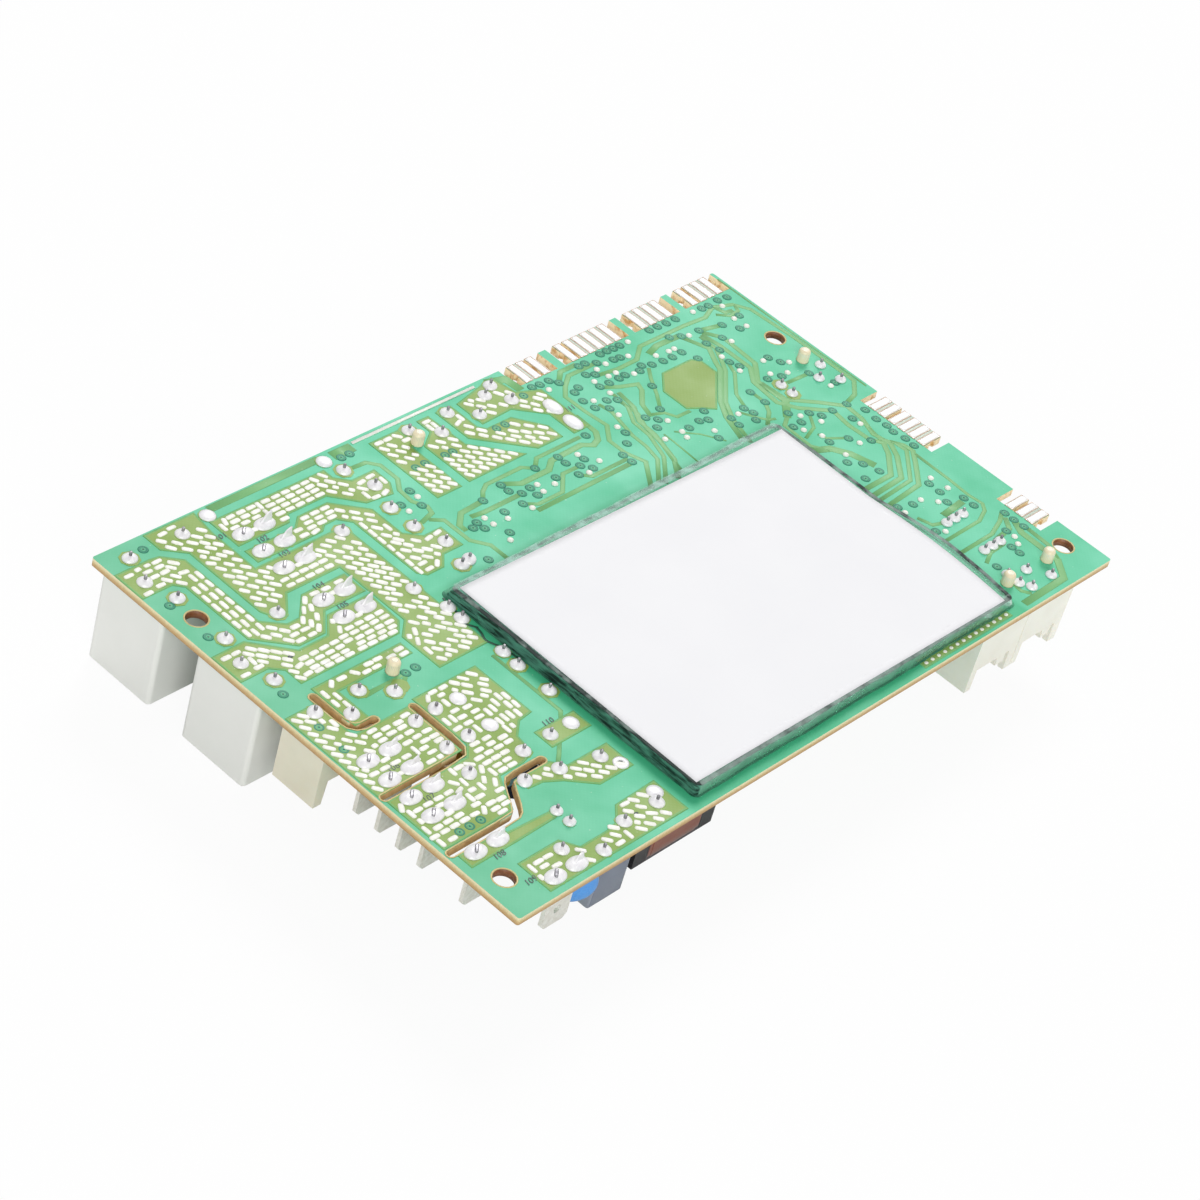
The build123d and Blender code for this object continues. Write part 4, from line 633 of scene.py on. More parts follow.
solder_dots = [
    (57, 82.7), (61.3, 84.8), (67.7, 73.9), (67.9, 71.8), (71.4, 71.5), (77.6, 71.2), (67.4, 67),
    (83.3, 75.4), (82.9, 73.4), (86.4, 73.8), (96.6, 77.5), (94.6, 72.6), (98.9, 74), (106.3, 94.2),
    (111.5, 87.2), (112.6, 81.6), (109.6, 79.2), (116.1, 91.3), (116.2, 87.2), (119.4, 93.7),
    (119.9, 91), (119.8, 75.3), (115.1, 71.7), (119.8, 71.5), (119.3, 69.8), (122.3, 94), (122, 91),
    (131.6, 96.6), (128.2, 93.4), (133.3, 90.6), (136.7, 90.2), (138.3, 90.2), (125, 88.9),
    (144.3, 91.6), (151, 96.5), (158, 94.7), (157, 90.6), (157.4, 87.6), (150.7, 85.8), (145, 83.4),
    (144.8, 78.4), (151.6, 78.1), (156, 75), (149.6, 74.5), (153.1, 72.9), (125.7, 68.3),
    (133.9, 69.3), (157.7, 65.4), (144.6, 62.3), (141.7, 59), (147, 58.9), (143.6, 55.8),
    (153.5, 54.2), (143.2, 49.4), (148.6, 50.3), (152.7, 35.5), (145.6, 32.3), (153.3, 31.7),
    (148.2, 30), (139.7, 31.5), (142.3, 23.5), (153.3, 15), (152.1, 13.2), (142.7, 6)]

vias = [
    (8.9, 100.3), (3, 86.8), (3.2, 77.3), (4.2, 59.8), (3.7, 50.5), (3.5, 44.3), (6, 19.5),
    (8.4, 19.5), (11, 19.5), (25.8, 52.1), (28.3, 52.2), (57, 100.4), (59.1, 100.4), (61.3, 86.8),
    (57, 84.8), (60.3, 82.7), (71.1, 77.6), (77.3, 79), (77.3, 77), (79, 75.2), (63.9, 73.1),
    (65.6, 73.8), (65.7, 71.9), (72.3, 73.2), (77, 73), (68.9, 68.6), (60, 65.4), (67, 91),
    (69.4, 91), (74.4, 90.7), (76.4, 90.7), (88.7, 91.2), (91, 91.2), (86.5, 79), (92.8, 79),
    (92.8, 77), (88, 75), (81.5, 75.5), (81.2, 73.3), (94.7, 75), (96.8, 76), (92.5, 73.3),
    (96.3, 73.2), (104.3, 72.8), (104.3, 70.5), (107.6, 74.8), (109.8, 77.2), (102.3, 80.7),
    (100.6, 95.5), (104, 96.5), (106, 96.3), (108.4, 96.2), (109.7, 94.7), (110.2, 91), (112, 91.7),
    (109.7, 88.3), (110.2, 85.6), (114, 86), (112.6, 84), (116, 85), (116.7, 78.3), (118.5, 76.6),
    (116.5, 75), (121.3, 78.6), (117, 96.3), (118.8, 96.3), (121, 95.2), (116.3, 93.7), (118, 92.8),
    (116, 89.7), (118.5, 89.5), (121.3, 89.5), (123.2, 89.6), (123.7, 96.8), (125.6, 96.8),
    (127.4, 96.7), (129.3, 96.7), (124.8, 94.2), (126.5, 94), (126.8, 89), (128.4, 90),
    (130.5, 89.1), (133.4, 88.7), (136, 88.6), (138.9, 88.7), (125.4, 84.4), (122, 71.6),
    (125.4, 72), (127.3, 71.3), (128.6, 73.6), (124.8, 66.4), (131.7, 69.2), (131.5, 67),
    (136.4, 70), (137, 68), (135.7, 66.2), (141.5, 72.7), (141.7, 69), (138.4, 97), (140.8, 97),
    (143.3, 96.8), (146, 96.8), (140.3, 93.3), (142.8, 92.3), (147.5, 91.7), (145.6, 88),
    (140.3, 85.6), (146.4, 85.2), (145.2, 81.5), (146, 79.5), (150, 87.6), (153.2, 90.5),
    (158.8, 90.8), (155.6, 87.8), (153.6, 96.4), (155.6, 96.3), (158.7, 96.6), (161.3, 96.3),
    (153.4, 78.3), (154.6, 76), (147.9, 73.7), (151.2, 72.8), (157, 70.5), (159.4, 65.7),
    (143.1, 64.2), (147, 62), (140.7, 60.8), (143.3, 60.9), (148.6, 60.1), (151.8, 60), (156, 59.8),
    (153.5, 56.2), (158, 56.6), (143.5, 53.8), (147.8, 52.5), (157.7, 53.5), (158, 51), (157.6, 49),
    (158.1, 46.3), (157.9, 43.9), (151.4, 49.6), (141.7, 47.7), (144.1, 45.7), (141, 42.5),
    (145.3, 42.5), (139.8, 33.4), (143.2, 32.3), (151.1, 34.6), (151, 31.8), (149.8, 29),
    (153.8, 28), (153.8, 25.5), (140.8, 24.6), (153.3, 17), (157.4, 20.6), (157.4, 18.3),
    (157.5, 15.9), (150.3, 13.4), (150.3, 11.4), (143, 11.3)]

header_pegs = [
    (24.1, 53.7), (72.4, 96.1), (159.1, 74.1), (153.4, 7.2), (140.8, 7.2)]
number_places = [
    (22.8, 95.6), (28.7, 91.2), (29.3, 86.2), (28.5, 76.7), (28.5, 70.6), (7.3, 36.5), (7.3, 28),
    (7.7, 12), (7.8, 4.9), (37.9, 29.6), (105.6, 88)]

# Tracks under the mask, of all widths: the width, then the places that each one passes.
tracks = [
    (1, [(141.8, 6.7), (141.5, 4.2), (142.7, 2.6)]),
    (1.2, [(157.7, 15.1), (157.4, 9.9), (155.6, 6.1)]),
    (0.9, [(149.4, 14.8), (145.2, 14.6), (142, 13.1)]),
    (1.2, [(156.4, 19.7), (154.4, 17.1), (149.1, 16.4)]),
    (1.1, [(56.5, 97.2), (60, 97), (61.8, 95), (61.8, 90.5), (59.8, 88), (59.5, 84.5), (61, 82),
     (60.4, 80.2), (56.7, 79.2)]),
    (1.1, [(58.5, 79.2), (60.9, 77.5), (60.9, 71), (63.3, 68), (63.3, 63.2)]),
    (1.3, [(62.3, 73.2), (62.3, 75), (65, 77.3), (71, 77.6)]),
    (1.2, [(65.8, 75.6), (69, 75.2), (79, 75.2)]),
    (1, [(71.3, 77.8), (73, 79.5), (75, 80.6), (84.5, 80.6), (86.5, 79)]),
    (1.4, [(77.6, 79.2), (81, 77.3), (88.5, 77.3), (91, 79), (99.5, 79.2), (101.5, 77.9),
     (103.5, 78.6), (104.9, 80.5), (105, 86)]),
    (1, [(86.5, 79), (89, 81), (101, 81)]),
    (1, [(77, 73), (79.5, 71.4), (86, 71.4), (90, 75.1), (94.7, 75)]),
    (1.2, [(78, 70.2), (104.3, 70.3)]),
    (1, [(92.5, 73.3), (94.4, 71.6), (104.3, 71.6)]),
    (1.2, [(109.7, 94.7), (112.5, 97), (117, 97)]),
    (1.1, [(118, 92.4), (123.5, 91.7), (129, 91.8), (132.8, 94.4), (146, 94.4), (152, 94),
     (156, 95.6), (160.5, 94), (162.6, 91), (163.4, 80), (163.4, 64), (160, 61), (156, 60)]),
    (1.5, [(132.5, 91.8), (136, 92.8), (143, 92.6)]),
    (1, [(150.5, 70.8), (157, 70.5)]),
    (1.2, [(156, 96), (157, 93), (159, 92.6)]),
    (1.3, [(153.2, 90.5), (150, 91.2), (147.5, 91.7)]),
    (1, [(143.1, 64.2), (139.5, 62), (139.2, 55), (141.5, 52)]),
    (1, [(139.4, 17.8), (150, 18), (154.6, 19.6), (157, 21)]),
    (1.7, [(139, 1.6), (152, 1.9), (155.4, 6), (155.6, 15), (157.4, 18.3)]),
    (1, [(5, 19.4), (12, 19.4)]),
    (1.3, [(15.5, 51.9), (25.8, 52), (23.5, 50.4)]),
    (0.9, [(29.6, 19.6), (34, 23.2), (36.2, 25.2)]),
    (0.9, [(40.6, 29), (42, 30.4), (42.1, 47)]),
    (1.1, [(122, 95.3), (113, 95.3), (110, 93.3), (107.6, 91), (107.7, 85.6), (108.3, 80.7),
     (105.2, 77.2), (105.2, 73.1), (106.7, 69.1), (101.6, 63)]),
    (1, [(116.6, 86.7), (116.1, 82.3), (113.6, 78.5), (113.3, 74.1), (111, 68.3), (105.2, 62.5)]),
    (1.2, [(117.9, 86.5), (117.2, 81.8), (114.8, 78.2), (114.5, 73.8), (112.2, 66.7),
     (108.5, 62.3)]),
    (1, [(111.7, 86), (112.2, 82.9), (110.4, 75.9), (110.3, 72.3), (109.3, 68.4), (103.4, 62.7)]),
    (1, [(116.1, 84.3), (116.4, 80), (114.5, 76.1), (113.6, 71.3), (110.6, 63.2)]),
    (1.2, [(115.7, 89.6), (119.5, 87.6), (123.3, 86.3), (122.6, 84.6), (119.3, 81.5), (118, 78)]),
    (0.9, [(129.1, 88.7), (127, 86.2), (124.3, 82.2), (121.8, 79.1)]),
    (0.9, [(126.2, 75.1), (122.5, 75.2), (121.2, 77.4), (118.4, 78.4)]),
    (1.3, [(142.4, 92.4), (144.9, 86.6), (142.5, 82.7), (141.7, 80.9), (133.8, 73.8), (131.1, 69.9),
     (128.7, 63.8)]),
    (1.1, [(146.2, 90.2), (146.1, 85.9), (143.5, 81.7), (142.3, 80), (134.7, 73.3), (131.7, 68.6),
     (129.4, 62)]),
    (0.9, [(145.1, 82.2), (143.4, 78.5), (138.5, 73.8), (136.4, 69)]),
    (1, [(141.7, 72.7), (141.7, 69), (140, 66.5), (136.5, 63.9)]),
    (0.8, [(134.6, 69.6), (136.6, 66.6), (137.9, 65), (139.6, 64.4)]),
    (1.3, [(147.6, 91), (150.2, 87.6), (149.6, 78.5), (145.6, 74.4), (145.4, 68), (147.3, 66.4),
     (151.2, 63.4), (155.6, 59.5), (155.2, 55.2), (153.4, 50.7), (154.1, 46.8), (152.2, 43.6),
     (147.6, 38.8), (136.1, 38.2)]),
    (1.3, [(147, 90.5), (147.6, 86), (147.6, 78), (144.6, 74.5), (143.8, 67.7), (146.2, 64.3),
     (151.9, 59.9), (151.1, 55.2), (151.4, 50.3), (153, 47.7), (151.2, 45), (146.4, 40.5),
     (136.1, 40.4)]),
    (1, [(154.2, 52.6), (153.4, 49.1), (155.1, 46.5), (155.3, 43.7), (152.6, 41.1), (148.6, 37.3),
     (136.8, 36.6)]),
    (1.2, [(154.6, 47.3), (156.2, 45.1), (156.4, 43), (153.9, 40.3), (149, 35.5), (137.4, 34.6)]),
    (0.9, [(156, 42.1), (155.8, 33.5), (155.4, 28.2), (155.8, 24.9), (154.5, 23.3), (151, 21.9),
     (139.2, 21.7)]),
    (1.6, [(152.7, 27.5), (145.9, 26.9)]),
    (1, [(140.7, 29.2), (141.7, 26.2), (144.4, 25.3)]),
    (2, [(138.1, 54), (142.1, 52.3), (144.4, 49.1), (146, 44.1)]),
    (0.8, [(143.3, 56.7), (144, 54.8), (147.9, 52.6)]),
    (0.8, [(146.6, 61.5), (144.3, 58.5), (140.2, 57.1)]),
    (0.5, [(116.1, 72.9), (116.1, 70.2), (115.6, 62.7)]),
    (0.5, [(118.5, 72.4), (122.5, 69.1), (125.5, 65)]),
    (0.9, [(160.8, 93.9), (159.9, 92), (157.1, 91.7), (154.7, 93.5)]),
    (0.5, [(164.3, 101.5), (164.3, 61.6)]),
    (1.9, [(26, 102.3), (53, 102.3)]),
    (2.6, [(55.8, 101.6), (61, 101.6)]),
    (2.2, [(97, 102.2), (101.2, 101), (101.5, 97)]),
    (1.8, [(141.9, 63.4), (146, 67.4), (145.5, 73.5)])]


# ---- Finishes ------------------------------------------------------------------------
def surface_of(material):
    """A finished material's tree, its Principled shader's inputs and its colour's socket."""
    inputs = material.node_tree.nodes["Principled BSDF"].inputs
    return material.node_tree, inputs, inputs["Base Color"].links[0].from_socket


# The laminate's layers in radians per metre of height: one every 0.2 mm.
LAYER_TURNS = 31416.0


def make_board_finish(name):
    """The bare board: mask on both faces, and at the edges and in every hole the sawn
    laminate, tan over brown with the cloth's layers showing as thin lines, and near white
    along its top, a painted highlight."""
    material = finish(name, "mask", (98, 206, 166), (88, 196, 152),
                      bump_depth=0.00002, specular_ior_level=0.3)
    tree, inputs, masked = surface_of(material)
    place, x, y, z = place_in(tree)
    # the mask is painted duller and browner towards the left edge, standing in for its weaker
    # sheen there, and a deeper green painted shadow lies round the cover's left and front
    masked = blend_of(tree, spread(tree, x, -0.08, -0.03, 0.4, 0.0), masked, srgb(108, 176, 132))
    cover_shadow = spread(tree, x, 0.055, 0.056, 1.0, 0.0)
    cover_shadow = product(tree, spread(tree, x, -0.0415, -0.037), cover_shadow)
    cover_shadow = product(tree, cover_shadow, spread(tree, y, 0.0118, 0.0135, 0.6, 0.0))
    masked = blend_of(tree, cover_shadow, masked, srgb(44, 176, 120))
    normal = add_node(tree, "ShaderNodeSeparateXYZ")
    join(tree, add_node(tree, "ShaderNodeNewGeometry").outputs["Normal"], normal.inputs[0])
    side = spread(tree, maths(tree, "ABSOLUTE", normal.outputs["Z"]), 0.5, 0.3)
    upward = spread(tree, z, BOARD_UNDER * MM, BOARD_TOP * MM)
    height = maths(tree, "ADD", upward, product(tree, noise_of(tree, place, 0.0006), 0.35))
    # the edge is painted lighter upwards, and near white at the top: a painted highlight
    ramp = add_node(tree, "ShaderNodeValToRGB")
    stops = ramp.color_ramp.elements
    stops[0].position, stops[0].color = 0.15, srgb(180, 144, 96)
    stops[1].position, stops[1].color = 0.6, srgb(214, 186, 134)
    stops.new(0.8).color = tuple(bpy.context.scene.power_board_colours.laminate)
    stops.new(1.0).color = srgb(246, 238, 196)
    join(tree, height, ramp.inputs[0])
    layers = maths(tree, "SINE", product(tree, z, LAYER_TURNS))
    streak = noise_of(tree, place, 0.00025, 2.0)
    dark = product(tree, maths(tree, "ADD", layers, streak, clamp=True), 0.3)
    laminate = blend_of(tree, dark, ramp.outputs[0], srgb(140, 102, 58))
    # the notches at the rear and right edges are milled, their walls painted paler, as if lit,
    # and burnt in places
    rear = product(tree, spread(tree, y, 0.0459, 0.0461), spread(tree, x, 0.010, 0.012))
    right = product(tree, spread(tree, x, 0.0782, 0.0784), spread(tree, y, -0.04, -0.038))
    lit_notch_share = product(tree, maths(tree, "MAXIMUM", rear, right), 0.9)
    burnt = spread(tree, noise_of(tree, place, 0.0016), 0.5, 0.66, 0.0, 0.9)
    lit_burnt_notch = blend_of(tree, burnt, srgb(255, 236, 198), srgb(206, 154, 84))
    laminate = blend_of(tree, lit_notch_share, laminate, lit_burnt_notch)
    join(tree, blend_of(tree, side, masked, laminate), inputs["Base Color"])
    return material


def make_sleeve_finish(name, colour, second, stripe):
    """Shrunk sleeve of a can: glossy film with a pale stripe down one side, found from the
    piece's own round mark."""
    material = finish(name, "moulded", colour, second, grain_depth=0.15, smoothest=0.2,
                      roughest=0.34, blotch_share=0.4, coat_weight=0.3)
    tree, inputs, film = surface_of(material)
    band = spread(tree, mark_in(tree, "round"), 0.21, 0.2)
    join(tree, blend_of(tree, band, film, srgb(*stripe)), inputs["Base Color"])
    return material


def make_banded_finish(name, colour, bands):
    """Lacquered body with colour rings, found from the piece's own mark along its length:
    bands of (middle, half width, colour)."""
    material = finish(name, "moulded", colour, [c * 0.93 for c in colour], smoothest=0.28,
                      roughest=0.45, coat_weight=0.2)
    tree, inputs, surface = surface_of(material)
    along = mark_in(tree, "along")
    for middle, half, tint in bands:
        near = maths(tree, "ABSOLUTE", maths(tree, "SUBTRACT", along, middle))
        surface = blend_of(tree, spread(tree, near, half + 0.006, half), surface, srgb(*tint))
    join(tree, surface, inputs["Base Color"])
    return material


def make_film_finish(name):
    """Clear formed film with soft scuffs: its own side mark, set by which way each wall faces,
    makes the near walls milkier, paints the board's green seen through them low down, mottles
    the left one with painted shade, and leaves the far walls almost unseen."""
    material = finish(name, "moulded", (196, 238, 222), (170, 226, 204), bump=0.15,
                      bump_depth=0.0002, blotch_size=0.012, grain_size=0.002, grain_depth=0.4,
                      smoothest=0.22, roughest=0.38, transmission_weight=0.35, ior=1.15)
    tree, inputs, film = surface_of(material)
    place, _, _, z = place_in(tree)
    near = mark_in(tree, "side")
    # painted: the board's green, as seen through the near walls, low down on them
    tint = product(tree, spread(tree, z, DECK * MM, (DECK + 2.0) * MM, 0.8, 0.1), near)
    film = blend_of(tree, tint, film, srgb(92, 204, 158))
    # painted shade: the left wall is mottled dark in streaks and made more solid
    stretched = add_node(tree, "ShaderNodeMapping")
    stretched.inputs["Scale"].default_value = (1.0, 0.25, 1.6)
    join(tree, place, stretched.inputs["Vector"])
    dark = spread(tree, noise_of(tree, stretched.outputs[0], 0.0011), 0.42, 0.6)
    painted_left_shade = blend_of(tree, dark, srgb(104, 172, 150), srgb(44, 66, 60))
    left_shade_share = spread(tree, near, 0.75, 0.95)
    join(tree, blend_of(tree, left_shade_share, film, painted_left_shade), inputs["Base Color"])
    scuff = spread(tree, noise_of(tree, place, 0.004), 0.35, 0.65, -0.05, 0.08)
    clear = maths(tree, "ADD", spread(tree, near, 0.0, 1.0, 0.07, 0.5), scuff, clamp=True)
    clear = maths(tree, "ADD", clear, product(tree, left_shade_share, 0.35), clamp=True)
    join(tree, clear, inputs["Alpha"])
    return material


def make_edge_finish(name, light, dark):
    """Folded edge of the film: its own shade mark runs from pale glints to the dark of what
    is seen through it edge on."""
    material = finish(name, "moulded", light, light, grain_depth=0.2, smoothest=0.4,
                      roughest=0.7, specular_ior_level=0.15)
    tree, inputs, pale = surface_of(material)
    streak = spread(tree, noise_of(tree, place_in(tree)[0], 0.0035), 0.35, 0.65, -0.3, 0.3)
    share = maths(tree, "ADD", mark_in(tree, "shade"), streak, clamp=True)
    join(tree, blend_of(tree, share, pale, srgb(*dark)), inputs["Base Color"])
    join(tree, spread(tree, share, 0.0, 0.8, 0.12, 1.0), inputs["Alpha"])
    return material


def make_taped_finish(name):
    """Brown tape round a ferrite core: it fades to a grey-brown towards the far end."""
    material = finish(name, "moulded", (134, 72, 50), (112, 56, 40), grain_size=0.0008,
                      grain_depth=0.5, smoothest=0.26, roughest=0.42, coat_weight=0.2)
    tree, inputs, tape = surface_of(material)
    z = place_in(tree)[3]
    worn_low = spread(tree, z, (BOARD_UNDER - 10.9) * MM, (BOARD_UNDER - 9) * MM, 0.9, 0.0)
    join(tree, blend_of(tree, worn_low, tape, srgb(116, 100, 96)), inputs["Base Color"])
    return material


THIN_MASK = {"bump": 0.15, "bump_depth": 0.00002, "specular_ior_level": 0.3}
NYLON = {"smoothest": 0.36, "roughest": 0.52, "subsurface_weight": 0.08}
LACQUER = {"grain_size": 0.0011, "grain_depth": 1.0, "bump": 0.35, "bump_depth": 0.00012}

# Finishes that one effect makes: its kind, the two colours, and the values that differ.
PLAIN_FINISHES = {
    "masked copper": ("mask", (144, 175, 92), (132, 162, 72), THIN_MASK),
    "masked track": ("mask", (130, 190, 128), (122, 182, 116), THIN_MASK),
    "mask slope": ("mask", (124, 182, 112), (116, 174, 102),
                   {**THIN_MASK, "specular_ior_level": 0.25}),
    "via ring": ("mask", (62, 146, 118), (48, 128, 102), {
        "bump": 0.15, "specular_ior_level": 0.3}),
    "masked via": ("mask", (96, 184, 142), (84, 170, 128), {
        "bump": 0.1, "specular_ior_level": 0.3}),
    "via hole shade": ("mask", (36, 92, 74), (28, 72, 58), {"bump": 0.1}),
    "painted crease shade": ("mask", (30, 84, 62), (22, 66, 50), {"bump": 0.1}),
    "contact outline": ("moulded", (216, 178, 150), (196, 150, 112), {
        "blotch_size": 0.002, "blotch_share": 0.9}),
    "drilled wall": ("moulded", (150, 96, 54), (96, 54, 30), {
        "blotch_size": 0.0016, "blotch_share": 0.9, "grain_depth": 0.6}),
    "contact gap": ("mask", (196, 206, 190), (184, 196, 180), {"bump": 0.1}),
    "tinned dash": ("tin", (252, 252, 244), (240, 240, 230), {
        "smoothest": 0.35, "roughest": 0.55, "bump": 0.15, "bump_depth": 0.00002}),
    "solder": ("tin", (252, 251, 252), (234, 232, 236), {
        "smoothest": 0.3, "metallic": 0.1, "bump": 0.25}),
    "lead metal": ("tin", (176, 174, 178), (120, 118, 124), {"metallic": 0.5, "bump": 0.3}),
    "edge contact": ("tin", (252, 252, 252), (240, 242, 240), {"metallic": 0.05, "bump": 0.1}),
    "tab metal": ("tin", (240, 238, 230), (224, 221, 210), {
        "crystal_size": 0.0007, "smoothest": 0.35, "metallic": 0.3, "bump": 0.15}),
    "contact metal": ("tin", (230, 226, 216), (204, 198, 184), {"metallic": 0.9}),
    "label paper": ("moulded", (245, 245, 247), (242, 242, 245), {
        "grain_size": 0.0002, "grain_depth": 0.5, "smoothest": 0.62, "roughest": 0.72,
        "blotch_size": 0.02, "bump": 0.15, "bump_depth": 0.00002, "specular_ior_level": 0.15}),
    "relay case": ("moulded", (232, 233, 228), (224, 226, 220), {
        "smoothest": 0.34, "roughest": 0.5, "blotch_size": 0.012, "bump_depth": 0.00002}),
    "relay base": ("moulded", (190, 191, 186), (176, 178, 173), {}),
    "cream nylon": ("moulded", (228, 222, 200), (215, 208, 184), NYLON),
    "peg nylon": ("moulded", (246, 234, 202), (238, 222, 182), {
        "grain_depth": 0.2, "smoothest": 0.25, "roughest": 0.4}),
    "white nylon": ("moulded", (247, 245, 232), (237, 233, 217), NYLON),
    "capacitor box": ("moulded", (146, 152, 163), (132, 138, 150), {
        "grain_size": 0.0002, "grain_depth": 0.7, "smoothest": 0.4}),
    "potting resin": ("moulded", (122, 130, 146), (106, 114, 130), {
        "smoothest": 0.15, "roughest": 0.3, "grain_size": 0.001}),
    "blue lacquer": ("moulded", (80, 154, 226), (62, 134, 208), {
        **LACQUER, "smoothest": 0.22, "roughest": 0.36, "coat_weight": 0.25}),
    "ochre lacquer": ("moulded", (206, 136, 52), (180, 108, 36), {
        **LACQUER, "smoothest": 0.26, "roughest": 0.42, "coat_weight": 0.2}),
    "black lacquer": ("moulded", (44, 46, 48), (30, 31, 33), {
        **LACQUER, "smoothest": 0.3, "roughest": 0.45}),
    "ferrite": ("moulded", (74, 70, 72), (58, 55, 58), {
        "grain_size": 0.00035, "grain_depth": 1.0, "smoothest": 0.42, "roughest": 0.62,
        "bump": 0.4}),
    "bobbin plastic": ("moulded", (38, 36, 38), (28, 27, 29), {
        "smoothest": 0.34, "roughest": 0.5}),
    "winding tape": ("moulded", (132, 70, 48), (108, 54, 36), {
        "grain_size": 0.0008, "grain_depth": 0.5, "smoothest": 0.24, "roughest": 0.38,
        "coat_weight": 0.3}),
    "black epoxy": ("moulded", (44, 45, 48), (34, 35, 38), {
        "grain_size": 0.00014, "grain_depth": 1.0, "smoothest": 0.44, "roughest": 0.6,
        "bump": 0.4}),
    "can metal": ("tin", (214, 214, 216), (190, 190, 194), {"metallic": 0.85}),
    "white print": ("moulded", (238, 240, 234), (222, 228, 220), {
        "blotch_size": 0.003, "bump": 0.1}),
    "black print": ("moulded", (26, 52, 46), (20, 40, 36), {"blotch_size": 0.002, "bump": 0.1}),
    "sawn wall": ("moulded", (218, 186, 132), (158, 122, 76), {
        "blotch_size": 0.0016, "grain_depth": 1.0, "smoothest": 0.6, "roughest": 0.8,
        "bump": 0.6}),
    "bare rim": ("moulded", (206, 186, 122), (178, 156, 96), {
        "blotch_size": 0.0014, "grain_size": 0.0004, "bump": 0.3}),
}

# Finishes of two or more steps: the function, and what it takes beside the finish's name.
MADE_FINISHES = {
    "clear film": (make_film_finish,),
    "board mask and laminate": (make_board_finish,),
    "cover edge": (make_edge_finish, (206, 230, 220), (36, 50, 46)),
    "cover foot": (make_edge_finish, (110, 190, 156), (34, 96, 72)),
    "rear edge": (make_edge_finish, (216, 248, 238), (160, 230, 204)),
    "taped core": (make_taped_finish,),
    "dark sleeve": (make_sleeve_finish, (38, 44, 66), (30, 35, 54), (196, 200, 208)),
    "green sleeve": (make_sleeve_finish, (34, 70, 62), (26, 58, 50), (200, 206, 196)),
    "resistor body": (make_banded_finish, (126, 168, 176), [
        (0.24, 0.035, (150, 92, 40)), (0.38, 0.035, (30, 30, 32)),
        (0.52, 0.035, (190, 54, 40)), (0.74, 0.035, (196, 160, 70))]),
    "diode body": (make_banded_finish, (38, 38, 42), [(0.82, 0.07, (206, 208, 210))]),
}
FINISHES = {}


def worn(name):
    """The finish of that name, made once."""
    if name in MADE_FINISHES and name not in FINISHES:
        maker, *values = MADE_FINISHES[name]
        FINISHES[name] = maker(name, *values)
    elif name not in FINISHES:
        kind, first, second, values = PLAIN_FINISHES[name]
        FINISHES[name] = finish(name, kind, first, second, **values)
    return FINISHES[name]


# ---- Sizes and colours that a user may change ----------------------------------------
def number(label, about, default, low=0.0):
    """A number property."""
    return bpy.props.FloatProperty(name=label, description=about, default=default, min=low)


def millimetres(label, about, default):
    """A length property, kept in millimetres."""
    return number(label, about + ", in mm", default)


def colour(label, about, default):
    """A colour property."""
    return bpy.props.FloatVectorProperty(name=label, description=about, subtype="COLOR",
                                         size=4, default=default, min=0, max=1)


class PowerBoardColours(bpy.types.PropertyGroup):
    """Colours of the board and its surroundings."""

    laminate: colour("Laminate", "Sawn edge of the board", srgb(230, 214, 162))
    floor: colour("Floor", "Plain floor under the board", (0.9, 0.9, 0.9, 1.0))


class PowerBoardSolder(bpy.types.PropertyGroup):
    """Sizes of the tinned pattern and the solder joints."""

    dash_length: millimetres("Dash Length", "Length of a tinned dash", 2.2)
    dash_width: millimetres("Dash Width", "Width of a tinned dash", 1.04)
    dash_height: millimetres("Dash Height", "Rise of a tinned dash", 0.16)
    dot_size: millimetres("Dot Size", "Width of a solder dot", 1.35)
    via_size: millimetres("Via Size", "Width of a masked via ring", 2.0)
    joint_height: millimetres("Joint Height", "Rise of a solder joint", 0.85)
    lead_rise: millimetres("Lead Rise", "Height of a cut lead above the copper", 1.6)
    lead_width: millimetres("Lead Width", "Width of a cut lead", 0.62)
    fin_rise: millimetres("Fin Rise", "Height of a twisted terminal leg", 2.1)
    fin_twist: bpy.props.FloatProperty(
        name="Fin Twist", description="Turn of a terminal leg at its tip",
        default=np.radians(20.0), subtype="ANGLE")


class PowerBoardCover(bpy.types.PropertyGroup):
    """Sizes of the clear cover and its label."""

    wall: millimetres("Wall", "Thickness of the clear film", 0.35)
    edge: millimetres("Edge Radius", "Rounding of the cover's upper edge", 0.55)
    waviness: millimetres("Waviness", "How far the walls wander", 0.12)
    label_lift: millimetres("Label Lift", "How far the label's edges stand off", 0.05)


class PowerBoardStage(bpy.types.PropertyGroup):
    """Camera and light."""

    lens: number("Lens", "Focal length of the camera", 109.13, 10.0)
    key_power: number("Key Light", "Strength of the key sun", 1.45)
    fill_power: number("Fill Light", "Strength of the low fill", 1.45)
    sky_power: number("Sky", "Strength of the even light", 0.44)


# ---- Operators -----------------------------------------------------------------------
WHITE = (1.0, 1.0, 1.0, 1.0)


def mixed_shader(tree, share, first, second, target):
    """Two shaders' outputs mixed by a share into the target."""
    node = add_node(tree, "ShaderNodeMixShader")
    for i, source in enumerate((share, first, second)):
        join(tree, source, node.inputs[i])
    join(tree, node.outputs[0], target)


